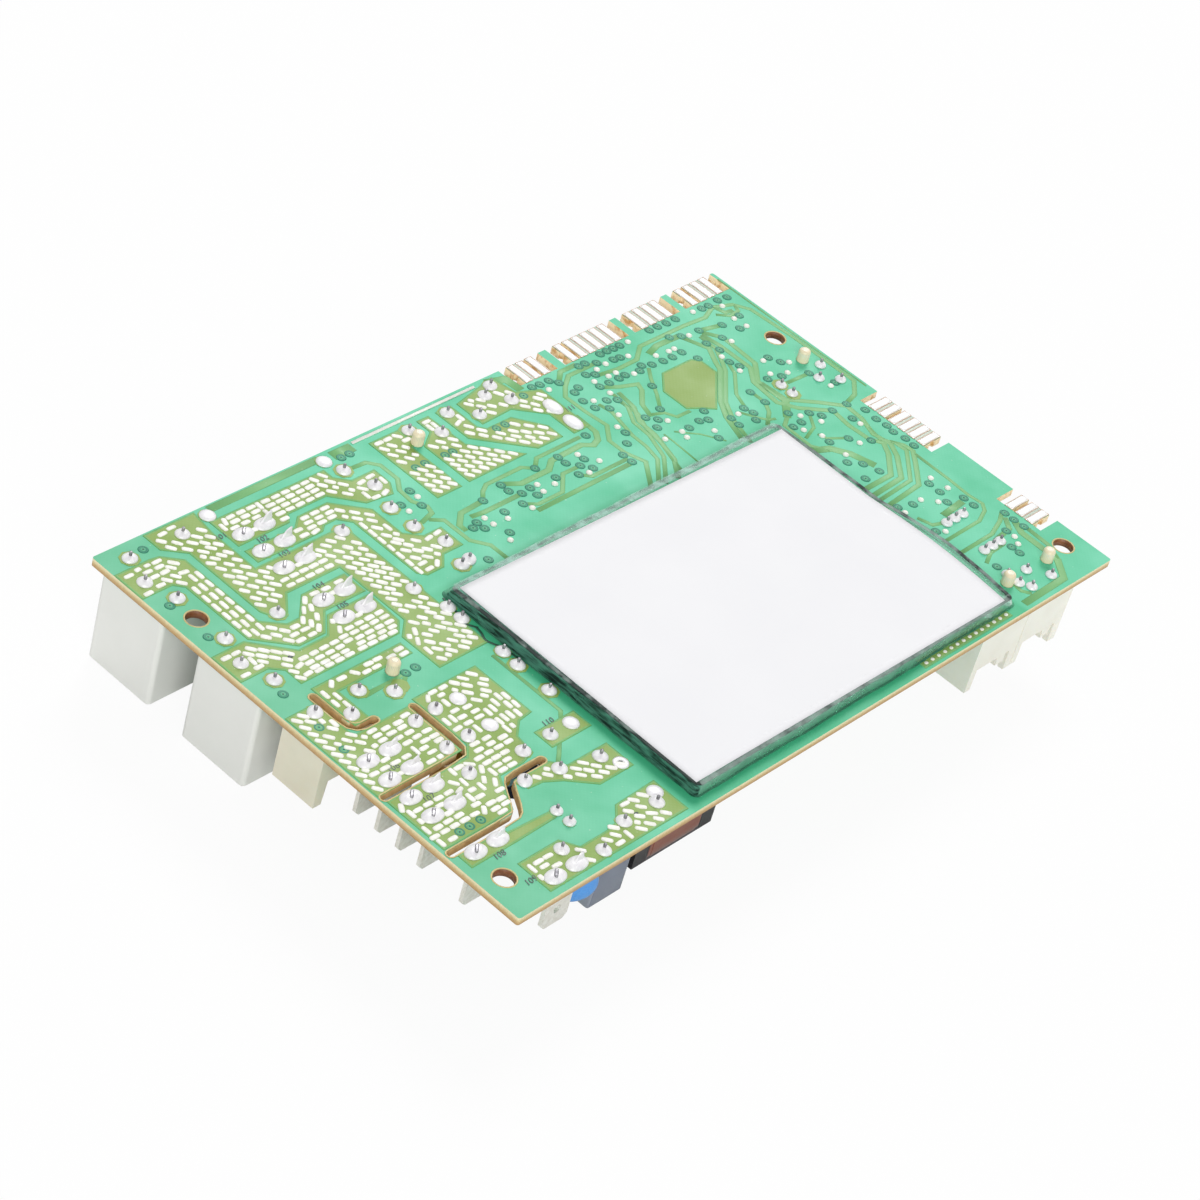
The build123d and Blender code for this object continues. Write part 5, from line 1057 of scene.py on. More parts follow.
class BOARD_OT_stage(bpy.types.Operator):
    """Adds the floor, the even sky, two soft suns and the camera"""

    bl_idname = "board.stage"
    bl_label = "Stage and Camera"

    def execute(self, context):
        stage = context.scene.power_board_stage
        self.add_sky(context, stage.sky_power)
        self.add_floor(context, tuple(context.scene.power_board_colours.floor))
        for name, way, power, size in (
            ("key sun", (-0.60, -0.40, -0.69), stage.key_power, 24.0),
            ("fill sun", (0.60, 0.62, -0.50), stage.fill_power, 34.0),
        ):
            lamp = bpy.data.lights.new(name, "SUN")
            lamp.energy, lamp.angle = power, np.radians(size)
            sun = bpy.data.objects.new(name, lamp)
            sun.rotation_mode = "QUATERNION"
            sun.rotation_quaternion = Vector(way).to_track_quat("-Z", "Y")
            context.scene.collection.objects.link(sun)

        lens = bpy.data.cameras.new("camera")
        lens.lens, lens.sensor_width = stage.lens, 36.0
        lens.clip_start, lens.clip_end = 0.02, 10.0
        camera = bpy.data.objects.new("camera", lens)
        ahead = Vector((0.65974, 0.41779, -0.62465)).normalized()
        above = Vector((0.35373, 0.56073, 0.74864)).normalized()
        across = ahead.cross(above).normalized()
        turn = Matrix((across, across.cross(ahead).normalized(), -ahead)).transposed()
        camera.matrix_world = Matrix.Translation((-0.43748, -0.27401, 0.42367)) @ turn.to_4x4()
        context.scene.collection.objects.link(camera)
        context.scene.camera = camera
        context.scene.view_settings.view_transform = "Standard"
        return {"FINISHED"}

    def add_sky(self, context, power):
        """An even sky of that strength, seen as plain white"""
        world = bpy.data.worlds.new("even sky")
        context.scene.world = world
        world.use_nodes = True
        tree = world.node_tree
        sky, seen = tree.nodes["Background"], add_node(tree, "ShaderNodeBackground")
        sky.inputs["Color"].default_value = seen.inputs["Color"].default_value = WHITE
        sky.inputs["Strength"].default_value = power
        rays = add_node(tree, "ShaderNodeLightPath").outputs
        mirrored = maths(tree, "MAXIMUM", rays["Is Glossy Ray"], rays["Is Transmission Ray"])
        direct = maths(tree, "MAXIMUM", rays["Is Camera Ray"], mirrored)
        mixed_shader(tree, direct, sky.outputs[0], seen.outputs[0],
                     tree.nodes["World Output"].inputs["Surface"])

    def add_floor(self, context, tint):
        """A plain floor just under the parts, lighter where the camera sees it"""
        half, under, seen_share = 1.6, -0.0002, 0.93
        mesh = bpy.data.meshes.new("floor")
        mesh.from_pydata([(x * half, y * half, under)
                          for x, y in ((-1, -1), (1, -1), (1, 1), (-1, 1))], [], [(0, 1, 2, 3)])
        floor = bpy.data.objects.new("floor", mesh)
        context.scene.collection.objects.link(floor)
        material = bpy.data.materials.new("plain floor")
        material.use_nodes = True
        tree = material.node_tree
        shader = tree.nodes["Principled BSDF"]
        drift = noise_of(tree, place_in(tree)[0], 0.3, 2.0)
        join(tree, blend_of(tree, spread(tree, drift, 0.3, 0.7, 0.0, 0.5), tint,
                            (0.93, 0.93, 0.93, 1.0)), shader.inputs["Base Color"])
        shader.inputs["Roughness"].default_value = 0.9
        glow = add_node(tree, "ShaderNodeEmission")
        glow.inputs["Color"].default_value = WHITE
        rays = add_node(tree, "ShaderNodeLightPath").outputs
        mixed_shader(tree, product(tree, rays["Is Camera Ray"], seen_share), shader.outputs[0],
                     glow.outputs[0], tree.nodes["Material Output"].inputs["Surface"])
        floor.data.materials.append(material)


# The finish of each CAD node, by its name or the start of its name.
CAD_FINISHES = {
    "circuit_board": "board mask and laminate", "copper_areas": "masked copper",
    "contact_fingers": "edge contact", "solder_joints": "solder", "left_header": "cream nylon",
    "rear_header": "cream nylon", "right_header": "white nylon", "front_header": "white nylon",
    "film_capacitor": "capacitor box", "transformer_core": "ferrite",
    "transformer_bobbin": "bobbin plastic", "transformer_winding": "winding tape",
    "crystal": "can metal", "varistor": "blue lacquer", "thermistor": "black lacquer",
    "power_resistor": "can metal", "relay_case": "relay case", "relay_base": "relay base",
    "blade_tab": "tab metal", "disc_capacitor": "ochre lacquer", "optocoupler": "black epoxy",
    "microcontroller": "black epoxy", "voltage_regulator": "black epoxy",
    "bulk_capacitor": "black epoxy", "output_capacitor": "black epoxy",
    "small_capacitor": "black epoxy", "rectifier_diode": "black epoxy",
}


class BOARD_OT_finishes(bpy.types.Operator):
    """Gives every carried-over CAD node its detailed finish"""

    bl_idname = "board.finishes"
    bl_label = "CAD Finishes"

    def execute(self, context):
        for name, node in NODES.items():
            kinds = [kind for start, kind in CAD_FINISHES.items() if name.startswith(start)]
            kind = kinds[0] if kinds else "label paper"
            if name.endswith("_contacts"):
                kind = "contact metal"
            node.data.materials.clear()
            node.data.materials.append(worn(kind))
        return {"FINISHED"}


# ---- The solder side -----------------------------------------------------------------
# The dashes that fill gaps, in mm: the step of the places that are tried, how deep in the
# copper a dash lies, how far from a listed one it may be, and its share of the full length.
TRIED_STEP, EDGE_DEPTH, LISTED_REACH = 0.42, 0.74, 2.6
FILLING_SHARES = (1, 0.8, 0.62)
# Gaps as shares of a dash's width: between the middle lines of two listed dashes, between
# those of a filling one and any other, and between a filling one and a joint.
LISTED_GAP, FILLING_GAP, JOINT_GAP = 0.92, 1.27, 0.36


def run_places():
    """Every dash of the tinned pattern as whole arrays: places (n, 2) and angles (n)."""
    runs = np.array([run if len(run) == 6 else (*run[:2], *run[:2], 1, run[2])
                     for run in tin_runs], float)
    count = runs[:, 4].astype(int)
    which = np.repeat(np.arange(len(runs)), count)
    step = np.arange(len(which)) - np.repeat(np.cumsum(count) - count, count)
    share = step / np.maximum(count[which] - 1, 1)
    places = runs[which, :2] + share[:, None] * (runs[which, 2:4] - runs[which, :2])
    return places, runs[which, 5]


def middle_points(places, angles, reach):
    """Five points along each dash's middle line: place + share * reach * direction."""
    turn = np.radians(angles)
    along = np.stack([np.cos(turn), np.sin(turn)], -1)
    return places[:, None] + np.linspace(-0.5, 0.5, 5)[:, None] * reach * along[:, None]


def edge_depth(points, outline):
    """Distance from each point to the outline's sides, negative outside it: the sign comes
    from how many sides a ray along x crosses."""
    start = np.array(outline, float)
    side = np.roll(start, -1, 0) - start
    away = points[..., None, :] - start
    share = np.clip((away * side).sum(-1) / (side ** 2).sum(-1), 0, 1)
    gap = np.linalg.norm(away - share[..., None] * side, axis=-1).min(-1)
    level = (away[..., 1] < 0) != (away[..., 1] < side[:, 1])
    reach = side[:, 0] * away[..., 1] / np.where(side[:, 1] == 0, 1e-9, side[:, 1])
    crossed = (level & (away[..., 0] < reach)).sum(-1) % 2
    return np.where(crossed == 1, gap, -gap)


def off_joints(points, margin):
    """Mask of the dashes whose points all stay off the joints by each kind's radius, and if
    there is a margin, off the pegs, slots, vias, dots, holes and numbers too, by both."""
    slot_lines = np.concatenate([eased(path, 1) for path in isolation_slots])
    joints = [(relay_joints + header_joints + part_joints + swept_joints, 1.6),
              (small_joints, 1.3), (bare_rounds, 1.6), (tab_lefts, 1.9), (tab_rights, 1.7)]
    others = [(header_pegs, 1.3), (slot_lines, 0.85), (vias, 0.9), (solder_dots, 0.5),
              (mounting_holes, 2.2), (number_places, 0.9)]
    free = np.ones(len(points), bool)
    for middles, radius in joints + (others if margin else []):
        gaps = np.linalg.norm(points[:, :, None] - np.array(middles, float), axis=3)
        free &= gaps.min(axis=(1, 2)) > radius + margin
    return free


def laid_dashes(length, width):
    """The pattern's dashes: places (n, 2), angles and lengths. The listed ones lie first, each
    where it touches no earlier one, and then shorter and shorter ones fill the gaps of the
    copper between them, in the direction of the nearest listed one."""
    places, angles = run_places()
    points = middle_points(places, angles, length - width)
    free = off_joints(points, 0)
    for i in range(1, len(places)):
        gap = np.linalg.norm(points[i] - points[:i][free[:i]].reshape(-1, 1, 2), axis=2)
        free[i] &= gap.size == 0 or gap.min() > LISTED_GAP * width
    places, angles, points = places[free], angles[free], points[free]
    lengths = np.full(len(places), length)
    listed, listed_angles = places, angles
    for outline in copper_outlines:
        low, high = np.min(outline, axis=0), np.max(outline, axis=0)
        x, y = np.meshgrid(*(np.arange(low[i], high[i], TRIED_STEP) for i in (0, 1)))
        spots = np.stack([x.ravel(), y.ravel()], -1)
        spots = spots[edge_depth(spots, outline) > EDGE_DEPTH]
        gaps = np.linalg.norm(spots[:, None] - listed, axis=2)
        near = gaps.min(1) < LISTED_REACH
        spots, turned = spots[near], listed_angles[gaps.argmin(1)[near]]
        for size in (share * length for share in FILLING_SHARES):
            tried = middle_points(spots, turned, size - width)
            deep = edge_depth(tried, outline).min(-1) > EDGE_DEPTH
            for i in np.flatnonzero(deep & off_joints(tried, JOINT_GAP * width)):
                gap = np.linalg.norm(tried[i] - points.reshape(-1, 1, 2), axis=2).min()
                if gap > FILLING_GAP * width:
                    points = np.concatenate([points, tried[i:i + 1]])
                    places = np.concatenate([places, spots[i:i + 1]])
                    angles, lengths = np.append(angles, turned[i]), np.append(lengths, size)
    return places, angles, lengths


class BOARD_OT_tinned_pattern(bpy.types.Operator):
    """Lays the tinned dashes, the dots and the long bar on the copper"""

    bl_idname = "board.tinned_pattern"
    bl_label = "Tinned Pattern"

    def execute(self, context):
        sizes = context.scene.power_board_solder
        places, angles, lengths = laid_dashes(sizes.dash_length, sizes.dash_width)
        chance = np.random.default_rng(7)
        # how much places in mm, angles in degrees, and lengths and widths as shares differ
        astray, turned, longer, wider = 0.02, 1.2, 0.035, 0.05
        many = len(places)
        places = places + chance.normal(0, astray, (many, 2))
        angles = angles + chance.normal(0, turned, many)
        rise = sizes.dash_height
        levels = [(0.0, -0.02), (0.10, 0.55 * rise), (0.34, 0.87 * rise), (0.7, rise)]
        dashes = domes(places, lengths * (1 + chance.normal(0, longer, many)),
                       sizes.dash_width * (1 + chance.normal(0, wider, many)), angles, levels,
                       DECK, 12, 3.6)
        make_piece("tinned_dashes", [dashes], "tinned dash")
        spots = domes(solder_dots, sizes.dot_size, sizes.dot_size, 0,
                      [(0.0, -0.08), (0.08, 0.14), (0.36, 0.3), (0.72, 0.37)], DECK, 12, 2.0)
        count = 14
        edge_dots = np.stack([np.linspace(109.0, 133.2, count), np.full(count, 1.55)], -1)
        row = domes(edge_dots, 0.9, 0.78, 0, levels, DECK, 12, 2.2)
        bar = ribbon([(61.6, 102.4), (94.0, 102.4)], 0.7, 0.16, DECK - 0.03)
        make_piece("solder_dots", [spots, row, bar], "tinned dash")
        return {"FINISHED"}


class BOARD_OT_tracks(bpy.types.Operator):
    """Lays the masked tracks, the slopes of the mask round the copper, and the vias"""

    bl_idname = "board.tracks"
    bl_label = "Tracks and Vias"

    def execute(self, context):
        lines = [ribbon(path, width * 0.95, 0.045, BOARD_TOP) for width, path in tracks]
        make_piece("masked_tracks", lines, "masked track")
        slopes = [ribbon(outline, 0.5, 0.08, BOARD_TOP, True) for outline in copper_outlines]
        make_piece("mask_slopes", slopes, "mask slope")
        ring = context.scene.power_board_solder.via_size
        for name, kind, size, count, levels in (
            ("via_rings", "via ring", ring, 14,
             [(0.0, 0.02), (0.1, 0.1), (0.3, 0.11), (0.45, 0.06)]),
            ("via_middles", "masked via", ring * 0.58, 10,
             [(0.0, 0.03), (0.2, 0.09), (0.7, 0.08)]),
            # painted shade: the dark middle of each via, where its hole lies under the mask
            ("via_hole_shades", "via hole shade", ring * 0.24, 8,
             [(0.0, 0.02), (0.3, 0.11), (0.8, 0.12)]),
        ):
            bodies = domes(vias, size, size, 0, levels, BOARD_TOP, count, 2.0)
            make_piece(name, [bodies], kind)
        return {"FINISHED"}


class BOARD_OT_solder_joints(bpy.types.Operator):
    """Builds every solder joint with its lead, and the twisted legs of the terminals"""

    bl_idname = "board.solder_joints"
    bl_label = "Solder Joints"

    def execute(self, context):
        sizes = context.scene.power_board_solder
        chance = np.random.default_rng(11)
        top = sizes.joint_height
        foot = (0.0, -0.03)
        cone = [foot, (0.05, 0.22 * top), (0.2, 0.5 * top), (0.45, 0.78 * top),
                (0.7, 0.95 * top), (0.82, top)]
        low_round = [foot, (0.06, 0.2), (0.3, 0.4), (0.65, 0.5), (0.9, 0.53)]
        low_long = [foot, (0.06, 0.25), (0.3, 0.5), (0.65, 0.62), (0.9, 0.66)]
        rounds = relay_joints + header_joints + part_joints
        many = len(rounds)
        solder = [
            domes(rounds, 3.0 + chance.normal(0, 0.08, many), 2.95 + chance.normal(0, 0.08, many),
                  0, cone, DECK, 24, 2.0),
            domes(small_joints, 2.45, 2.35, 0, cone, DECK, 20, 2.0),
            domes(swept_joints, 3.4, 2.75, 35, cone, DECK, 24, 2.1),
            domes(bare_rounds, 3.2, 3.2, 0, low_round, DECK, 24, 2.0),
            domes(tab_lefts, 4.6, 3.25, 0, cone, DECK, 28, 2.15),
            domes(tab_rights, 4.6, 3.2, 0, cone, DECK, 28, 2.15),
            domes([(103.0, 90.0), (103.0, 84.7)], 4.7, 3.2, 90, low_long, DECK, 28, 2.15)]
        make_piece("solder_joint_domes", solder, "solder", ["solder_joints"])
        rise, wide = sizes.lead_rise, sizes.lead_width
        ends = [(0.0, 0.3 * top), (0.0, rise - 0.1), (0.22, rise), (0.8, rise + 0.03)]
        low_ends = [(0.0, 0.3 * top), (0.0, rise - 0.2), (0.25, rise - 0.08), (0.8, rise - 0.05)]
        tab_ends = [(0.0, 0.5 * top), (0.0, top + 0.12), (0.3, top + 0.2), (0.8, top + 0.2)]
        leads = [domes(rounds, wide, wide, 0, ends, DECK, 10, 2.0),
                 domes(small_joints + swept_joints, 0.62, 0.62, 0, low_ends, DECK, 10, 2.0),
                 domes(tab_lefts, 1.9, 0.7, 40, tab_ends, DECK, 12, 4.0)]
        make_piece("lead_ends", leads, "lead metal")
        step = np.linspace(0, 1, 9)[:, None]
        ring = oval(12, 3.0)[None] * np.stack([1.55 - 0.65 * step, 0.5 - 0.34 * step], -1)
        ring = rotated(ring, np.degrees(sizes.fin_twist) * (step - 0.4))
        lean = np.concatenate([0.95 * step ** 1.2, 0.35 * step ** 1.2], -1)[:, None]
        # the legs of the terminals near the front are lower
        places, middle_row, low_share = np.array(tab_rights), 60.0, 0.74
        share = np.where(places[:, 1] > middle_row, 1.0, low_share)[:, None, None, None]
        height = DECK + 0.35 * top + (sizes.fin_rise * share - 0.35 * top) * step[..., None]
        fins = stack(raised(ring + lean + places[:, None, None, :], height))
        make_piece("twisted_legs", [fins], "solder")
        return {"FINISHED"}


class BOARD_OT_edge_contacts(bpy.types.Operator):
    """Tins the contacts along the rear and right edges"""

    bl_idname = "board.edge_contacts"
    bl_label = "Edge Contacts"

    def execute(self, context):
        long, wide, pitch = 5.4, 1.6, 2.5
        inset = long / 2 + 0.05
        # each group's first contact, how many there are, and the gaps that are filled
        rear = ((104.9, 3, [0]), (118.0, 6, [1, 2, 3, 4]), (138.35, 4, [0, 1, 2]),
                (153.6, 4, [1, 2]))
        right = ((16.3, 3, [0]), (43.7, 6, [0, 1, 2, 4]))
        tinned, filled, lines = [], [], []
        for groups, turned, level in ((rear, True, BOARD_WIDE - inset),
                                      (right, False, BOARD_LONG - inset)):
            steps = np.concatenate([first + pitch * np.arange(count) for first, count, _ in groups])
            gaps = np.concatenate([first + pitch * (0.5 + np.array(gap))
                                   for first, _, gap in groups])
            order = 1 if turned else -1
            places, gap_places = (np.stack([values, np.full(len(values), level)][::order], -1)
                                  for values in (steps, gaps))
            tinned.append(domes(places, long, wide, 90 * turned, [
                (0.0, -0.02), (0.1, 0.1), (0.35, 0.15), (0.7, 0.17)], DECK, 20, 5.0))
            filled.append(domes(gap_places, long, 0.85, 90 * turned, [
                (0.0, -0.06), (0.1, -0.03), (0.7, -0.02)], DECK, 16, 8.0))
            half = np.array([wide, long][::order]) / 2 + 0.06
            square = np.array([[-1, -1], [1, -1], [1, 1], [-1, 1]]) * half
            loops = np.clip(places[:, None] + square, 0.1, [BOARD_LONG - 0.08, BOARD_WIDE - 0.08])
            lines += [ribbon(loop, 0.14, 0.03, DECK, True) for loop in loops]
        make_piece("contact_gaps", filled, "contact gap")
        make_piece("contact_outlines", lines, "contact outline")
        make_piece("tinned_contacts", tinned, "edge contact")
        return {"FINISHED"}


def quarter_arc(centre, radius, start):
    """A quarter circle round a centre, counterclockwise from an angle in degrees."""
    turn = np.radians(start + np.linspace(0, 90, 7))
    return centre + radius * np.stack([np.cos(turn), np.sin(turn)], -1)


def cover_outline(inset, waviness, lean=0.0):
    """The cover's outline, counterclockwise from the front left corner: straight walls that
    wander as two sines of the distance, rounded corners, and a right wall that bows out by
    b sin(pi t) over its front part, all drawn in by the inset; the rear and right walls
    come in by the lean as well."""
    low, high = np.array([45.9, 2.3]) + inset, np.array([137.3, 63.5]) - inset - lean
    r, bow, bowed = 1.2 - inset * 0.6, 1.6, 0.55
    t = np.linspace(0, 1, 40)[1:-1, None]
    front = np.array([low[0] + r, low[1]]) * (1 - t) + np.array([high[0] - r, low[1]]) * t
    right_x = high[0] + bow * np.where(t < bowed, np.sin(np.pi * t / bowed), 0.0)
    right = np.concatenate([right_x, (low[1] + r) * (1 - t) + (high[1] - r) * t], -1)
    rear = np.array([high[0] - r, high[1]]) * (1 - t) + np.array([low[0] + r, high[1]]) * t
    left = np.array([low[0], high[1] - r]) * (1 - t) + np.array([low[0], low[1] + r]) * t
    path = np.concatenate([
        quarter_arc(low + r, r, 180), front,
        quarter_arc(np.array([high[0] - r, low[1] + r]), r, 270), right,
        quarter_arc(high - r, r, 0), rear,
        quarter_arc(np.array([low[0] + r, high[1] - r]), r, 90), left])
    out = -left_of(unit_rows(np.roll(path, -1, 0) - np.roll(path, 1, 0)))
    distance = np.cumsum(np.linalg.norm(np.diff(path, axis=0, append=path[:1]), axis=1))
    wander = waviness * (0.6 * np.sin(distance / 4.1) + 0.4 * np.sin(distance / 1.7 + 1))
    return path + out * (wander - waviness)[:, None]


class BOARD_OT_cover(bpy.types.Operator):
    """Forms the clear cover, lays its blank label and rounds the header pegs' tips"""

    bl_idname = "board.cover"
    bl_label = "Cover and Label"

    def execute(self, context):
        sizes = context.scene.power_board_cover
        tip = [(1.25, BOARD_TOP - 0.1), (1.25, DECK + 0.1), (1.21, DECK + 0.25),
               (1.205, DECK + 2.0), (1.05, DECK + 2.36), (0.8, DECK + 2.56),
               (0.45, DECK + 2.602), (0.1, DECK + 2.603)]
        make_piece("peg_tips", [turned_solid(place, tip, 24) for place in header_pegs],
                   "peg nylon")
        low, high = (corner[2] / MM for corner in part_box("clear_cover"))
        wall, edge, lean = sizes.wall, sizes.edge, 1.5
        profile = [(wall, high - wall), (wall, low), (0.0, low), (0.0, low + 0.5)]
        profile += [(edge - edge * float(np.cos(a)), high - edge + edge * float(np.sin(a)))
                    for a in np.radians(np.linspace(0, 90, 6))]
        profile += [(edge + 1.2, high), (edge + 2.2, high - 0.06)]
        rings = [raised(cover_outline(inset, sizes.waviness, lean * (height - low) / (high - low)),
                        height) for inset, height in profile]
        ahead = unit_rows((np.roll(rings[0], -1, 0) - rings[0])[:, :2])
        leftward, rightward = np.clip(-ahead[:, 1], 0, 1), np.clip(ahead[:, 1], 0, 1)
        forward = np.clip(ahead[:, 0], 0, 1)
        side = np.tile(leftward + 0.7 * forward + 0.25 * rightward, len(rings))
        cover = make_piece("formed_cover", [stack(rings)], "clear film", ["clear_cover"],
                           marks={"side": side})
        cover.data.set_sharp_from_angle(angle=np.radians(50))
        self.add_label(high, sizes.label_lift)
        outline = cover_outline(0.42, sizes.waviness, lean)
        rear = outline[ahead[:, 0] < -0.9]
        foot = cover_outline(-0.1, sizes.waviness)
        # the shade marks paint the edges' pale glints, a painted highlight, and the dark seen
        # through the film edge on, a painted shade, darkest on the left wall
        shades = (-0.3 + 1.3 * leftward + 1.0 * rightward + 0.85 * forward,
                  np.full(len(rear), 0.12),
                  0.05 + 0.7 * leftward + 0.1 * rightward + 0.45 * forward)
        for name, line, kind, shade in (
            ("cover_edge", ribbon(outline, 0.95, 0.03, high, True), "cover edge", shades[0]),
            ("cover_rear_edge", ribbon(rear, 1.5, 0.03, high + 0.01), "rear edge", shades[1]),
            ("cover_foot", ribbon(foot, 0.5, 0.05, DECK, True), "cover foot", shades[2]),
        ):
            make_piece(name, [line], kind, marks={"shade": np.repeat(shade, 5)})
        # painted shade: dark wavy lines on the mask left of the cover, where the film's flange lies
        # on it
        crease_shade_paths = [[(45.4, 62.4), (44.7, 60.2), (44.9, 58.4), (43.8, 56.8), (43.6, 55.6),
                    (45.1, 53.4)], [(44.9, 53.8), (44.6, 52.0), (43.8, 50.7), (44.0, 49.6),
                                    (45.2, 47.2), (45.3, 44.6), (45.6, 42.0)]]
        make_piece("painted_crease_shades", [ribbon(path, 0.5, 0.04, DECK, rounds=2) for path in crease_shade_paths],
                   "painted crease shade")
        return {"FINISHED"}

    def add_label(self, level, lifted):
        """The blank sheet: bilinear between its corners, its borders lifted off the film"""
        u = np.linspace(0, 1, 61)[None, :, None]
        v = np.linspace(0, 1, 41)[:, None, None]
        c = np.array([[46.5, 3.4], [133.3, 2.85], [134.9, 59.8], [47.4, 61.0]])
        flat = (1 - u) * (1 - v) * c[0] + u * (1 - v) * c[1] + u * v * c[2] + (1 - u) * v * c[3]
        bowed, most = 0.6, 1.1
        bow = np.where(v < bowed, np.sin(np.pi * v / bowed), 0.0) * u ** 6 * most
        flat = flat + np.concatenate([bow, np.zeros_like(bow)], -1)
        long, wide, reach, thick = 85.0, 56.0, 0.8, 0.075
        border = np.minimum(np.minimum(u, 1 - u) * long, np.minimum(v, 1 - v) * wide)
        lift = lifted * np.exp(-border / reach) * (0.6 + 0.4 * np.sin(9 * u + 7 * v))
        waves = 0.004 * (np.sin(7 * u + 3 * v) * np.sin(4 * v + 2 * u) + 1)
        upper = raised(flat, level + thick + lift * 0.5 + waves)
        lower = raised(flat, level + lift * 0.5 + waves * 0.2)
        make_piece("label_sheet", [slab(upper, lower)], "label paper", ["label"])


def slot_loop(line, reach):
    """The outline of a slot at a distance from its middle line, with rounded ends."""
    turn = np.radians(np.linspace(-80, 80, 9))[:, None]
    way = unit_rows(np.gradient(line, axis=0))
    left = left_of(way)
    last = line[-1] + reach * (np.sin(turn) * left[-1] + np.cos(turn) * way[-1])
    first = line[0] - reach * (np.sin(turn) * left[0] + np.cos(turn) * way[0])
    return np.concatenate([line - left * reach, last, (line + left * reach)[::-1], first])


def lining(outer, inner, gap):
    """A thin wall through the board between two loops, short of both its faces by the gap."""
    low, high = BOARD_UNDER + gap, BOARD_TOP - gap
    rings = [raised(loop, height) for loop, height in
             ((outer, low), (outer, high), (inner, high), (inner, low))]
    return stack(rings, closed=True)


class BOARD_OT_slots(bpy.types.Operator):
    """Rims the isolation slots and the holes with bare laminate and lines their walls"""

    bl_idname = "board.slots"
    bl_label = "Slot Rims"

    def execute(self, context):
        lines = [eased(path, 1) for path in isolation_slots]
        rims = [ribbon(slot_loop(line, 0.87), 0.3, 0.03, DECK - 0.01, True) for line in lines]
        walls = [lining(slot_loop(line, 0.725), slot_loop(line, 0.675), 0.02) for line in lines]
        holes = np.array(mounting_holes)
        rims += [ribbon(hole + 2.16 * oval(40), 0.3, 0.03, BOARD_TOP, True) for hole in holes]
        linings = [lining(hole + 2.02 * oval(40), hole + 1.97 * oval(40), 0.03) for hole in holes]
        make_piece("bare_rims", rims, "bare rim")
        make_piece("hole_linings", linings, "drilled wall")
        make_piece("slot_walls", walls, "sawn wall", smooth=False)
        return {"FINISHED"}


# ---- Parts on the component side -----------------------------------------------------
class BOARD_OT_cans(bpy.types.Operator):
    """Makes the electrolytic cans: a shrunk sleeve with its crimp, and a scored metal end"""

    bl_idname = "board.cans"
    bl_label = "Electrolytic Cans"

    def execute(self, context):
        for node, sleeve_finish in (
            ("bulk_capacitor", "dark sleeve"), ("output_capacitor_1", "green sleeve"),
            ("output_capacitor_2", "green sleeve"), ("small_capacitor_1", "dark sleeve"),
            ("small_capacitor_2", "dark sleeve"),
        ):
            low, high = box_of(node)
            middle, radius = (low + high) / 2, (high[0] - low[0]) / 2
            floor, top = low[2], BOARD_UNDER - 0.01
            profile = [(radius - inset, floor + rise) for inset, rise in (
                (1.3, 0.3), (0.8, 0.02), (0.35, 0.08), (0.08, 0.4), (0, 0.9))]
            profile += [(radius - inset, top - drop) for inset, drop in (
                (0, 3.3), (0.2, 2.8), (0.45, 2.4), (0.2, 2.0), (0, 1.5), (0.06, 0.5),
                (0.45, 0.1), (1.0, 0.02))]
            turn = np.tile(np.linspace(0, 1, 40, endpoint=False), len(profile))
            make_piece(node + "_sleeve", [turned_solid(middle, profile, 40)], sleeve_finish,
                       [node], marks={"round": np.abs(2 * turn - 1)})
            # the end is scored with a cross, a groove of 0.3 mm in its inner part
            share = np.concatenate([np.linspace(0.05, 1, 10), [1.0]])
            ring = (radius - 0.9) * share[:, None, None] * oval(48)[None]
            across, groove, scored = np.abs(ring).min(-1, keepdims=True), 0.3, 0.82
            score = groove * np.exp(-(across / groove) ** 2) * (share < scored)[:, None, None]
            depth = np.concatenate([np.full(10, 0.22), [1.2]])[:, None, None] + score
            end = stack(raised(ring + middle[:2], floor + depth))
            make_piece(node + "_end", [end], "can metal", [node])
        return {"FINISHED"}


def between(start, end):
    """The level direction from one joint to another."""
    run = np.array(end, float) - np.array(start, float)
    return np.append(run / np.linalg.norm(run), 0.0)


class BOARD_OT_discs(bpy.types.Operator):
    """Makes the dipped disc parts: a pillow-shaped disc, lacquer run down its leads"""

    bl_idname = "board.discs"
    bl_label = "Dipped Discs"

    def execute(self, context):
        discs = [("varistor", (17.4, 7.0), (23.2, 2.8), 8.6, 3.2, "blue lacquer"),
                 ("disc_capacitor_1", (18.8, 42.5), (23.8, 42.6), 8.4, 3.4, "ochre lacquer"),
                 ("disc_capacitor_2", (18.8, 35.0), (23.8, 35.0), 8.4, 3.4, "ochre lacquer"),
                 ("thermistor", (23.2, 13.7), (23.2, 10.7), 5.0, 2.4, "black lacquer")]
        pillow = np.array([(0.1, -1.0), (0.5, -0.98), (0.8, -0.86), (0.94, -0.62), (1.0, -0.25),
                           (1.0, 0.25), (0.94, 0.62), (0.8, 0.86), (0.5, 0.98), (0.1, 1.0)])
        leads = []
        for node, start, end, across, thick, lacquer in discs:
            start, end = np.array(start), np.array(end)
            along = between(start, end)
            radius = across / 2
            centre = np.append((start + end) / 2, box_of(node)[0][2] + radius)
            bodies = [stack(sections(centre, np.cross(along, UP), along,
                                     pillow[:, 1] * thick / 2, pillow[:, 0] * radius, oval(40)))]
            for foot in (start, end):
                over = np.append(foot, centre[2] + 0.45 * radius)
                under = np.append(foot, BOARD_UNDER - 0.35)
                path = over + (under - over) * np.linspace(0, 1, 7)[:, None]
                bodies.append(tube(path, np.linspace(0.95, 0.38, 7), 14))
                leads.append(tube([np.append(foot, centre[2]), under,
                                   np.append(foot, BOARD_UNDER + 0.3)], 0.3, 10))
            make_piece(node + "_body", bodies, lacquer, [node])
        make_piece("disc_leads", leads, "lead metal", [disc[0] for disc in discs])
        return {"FINISHED"}


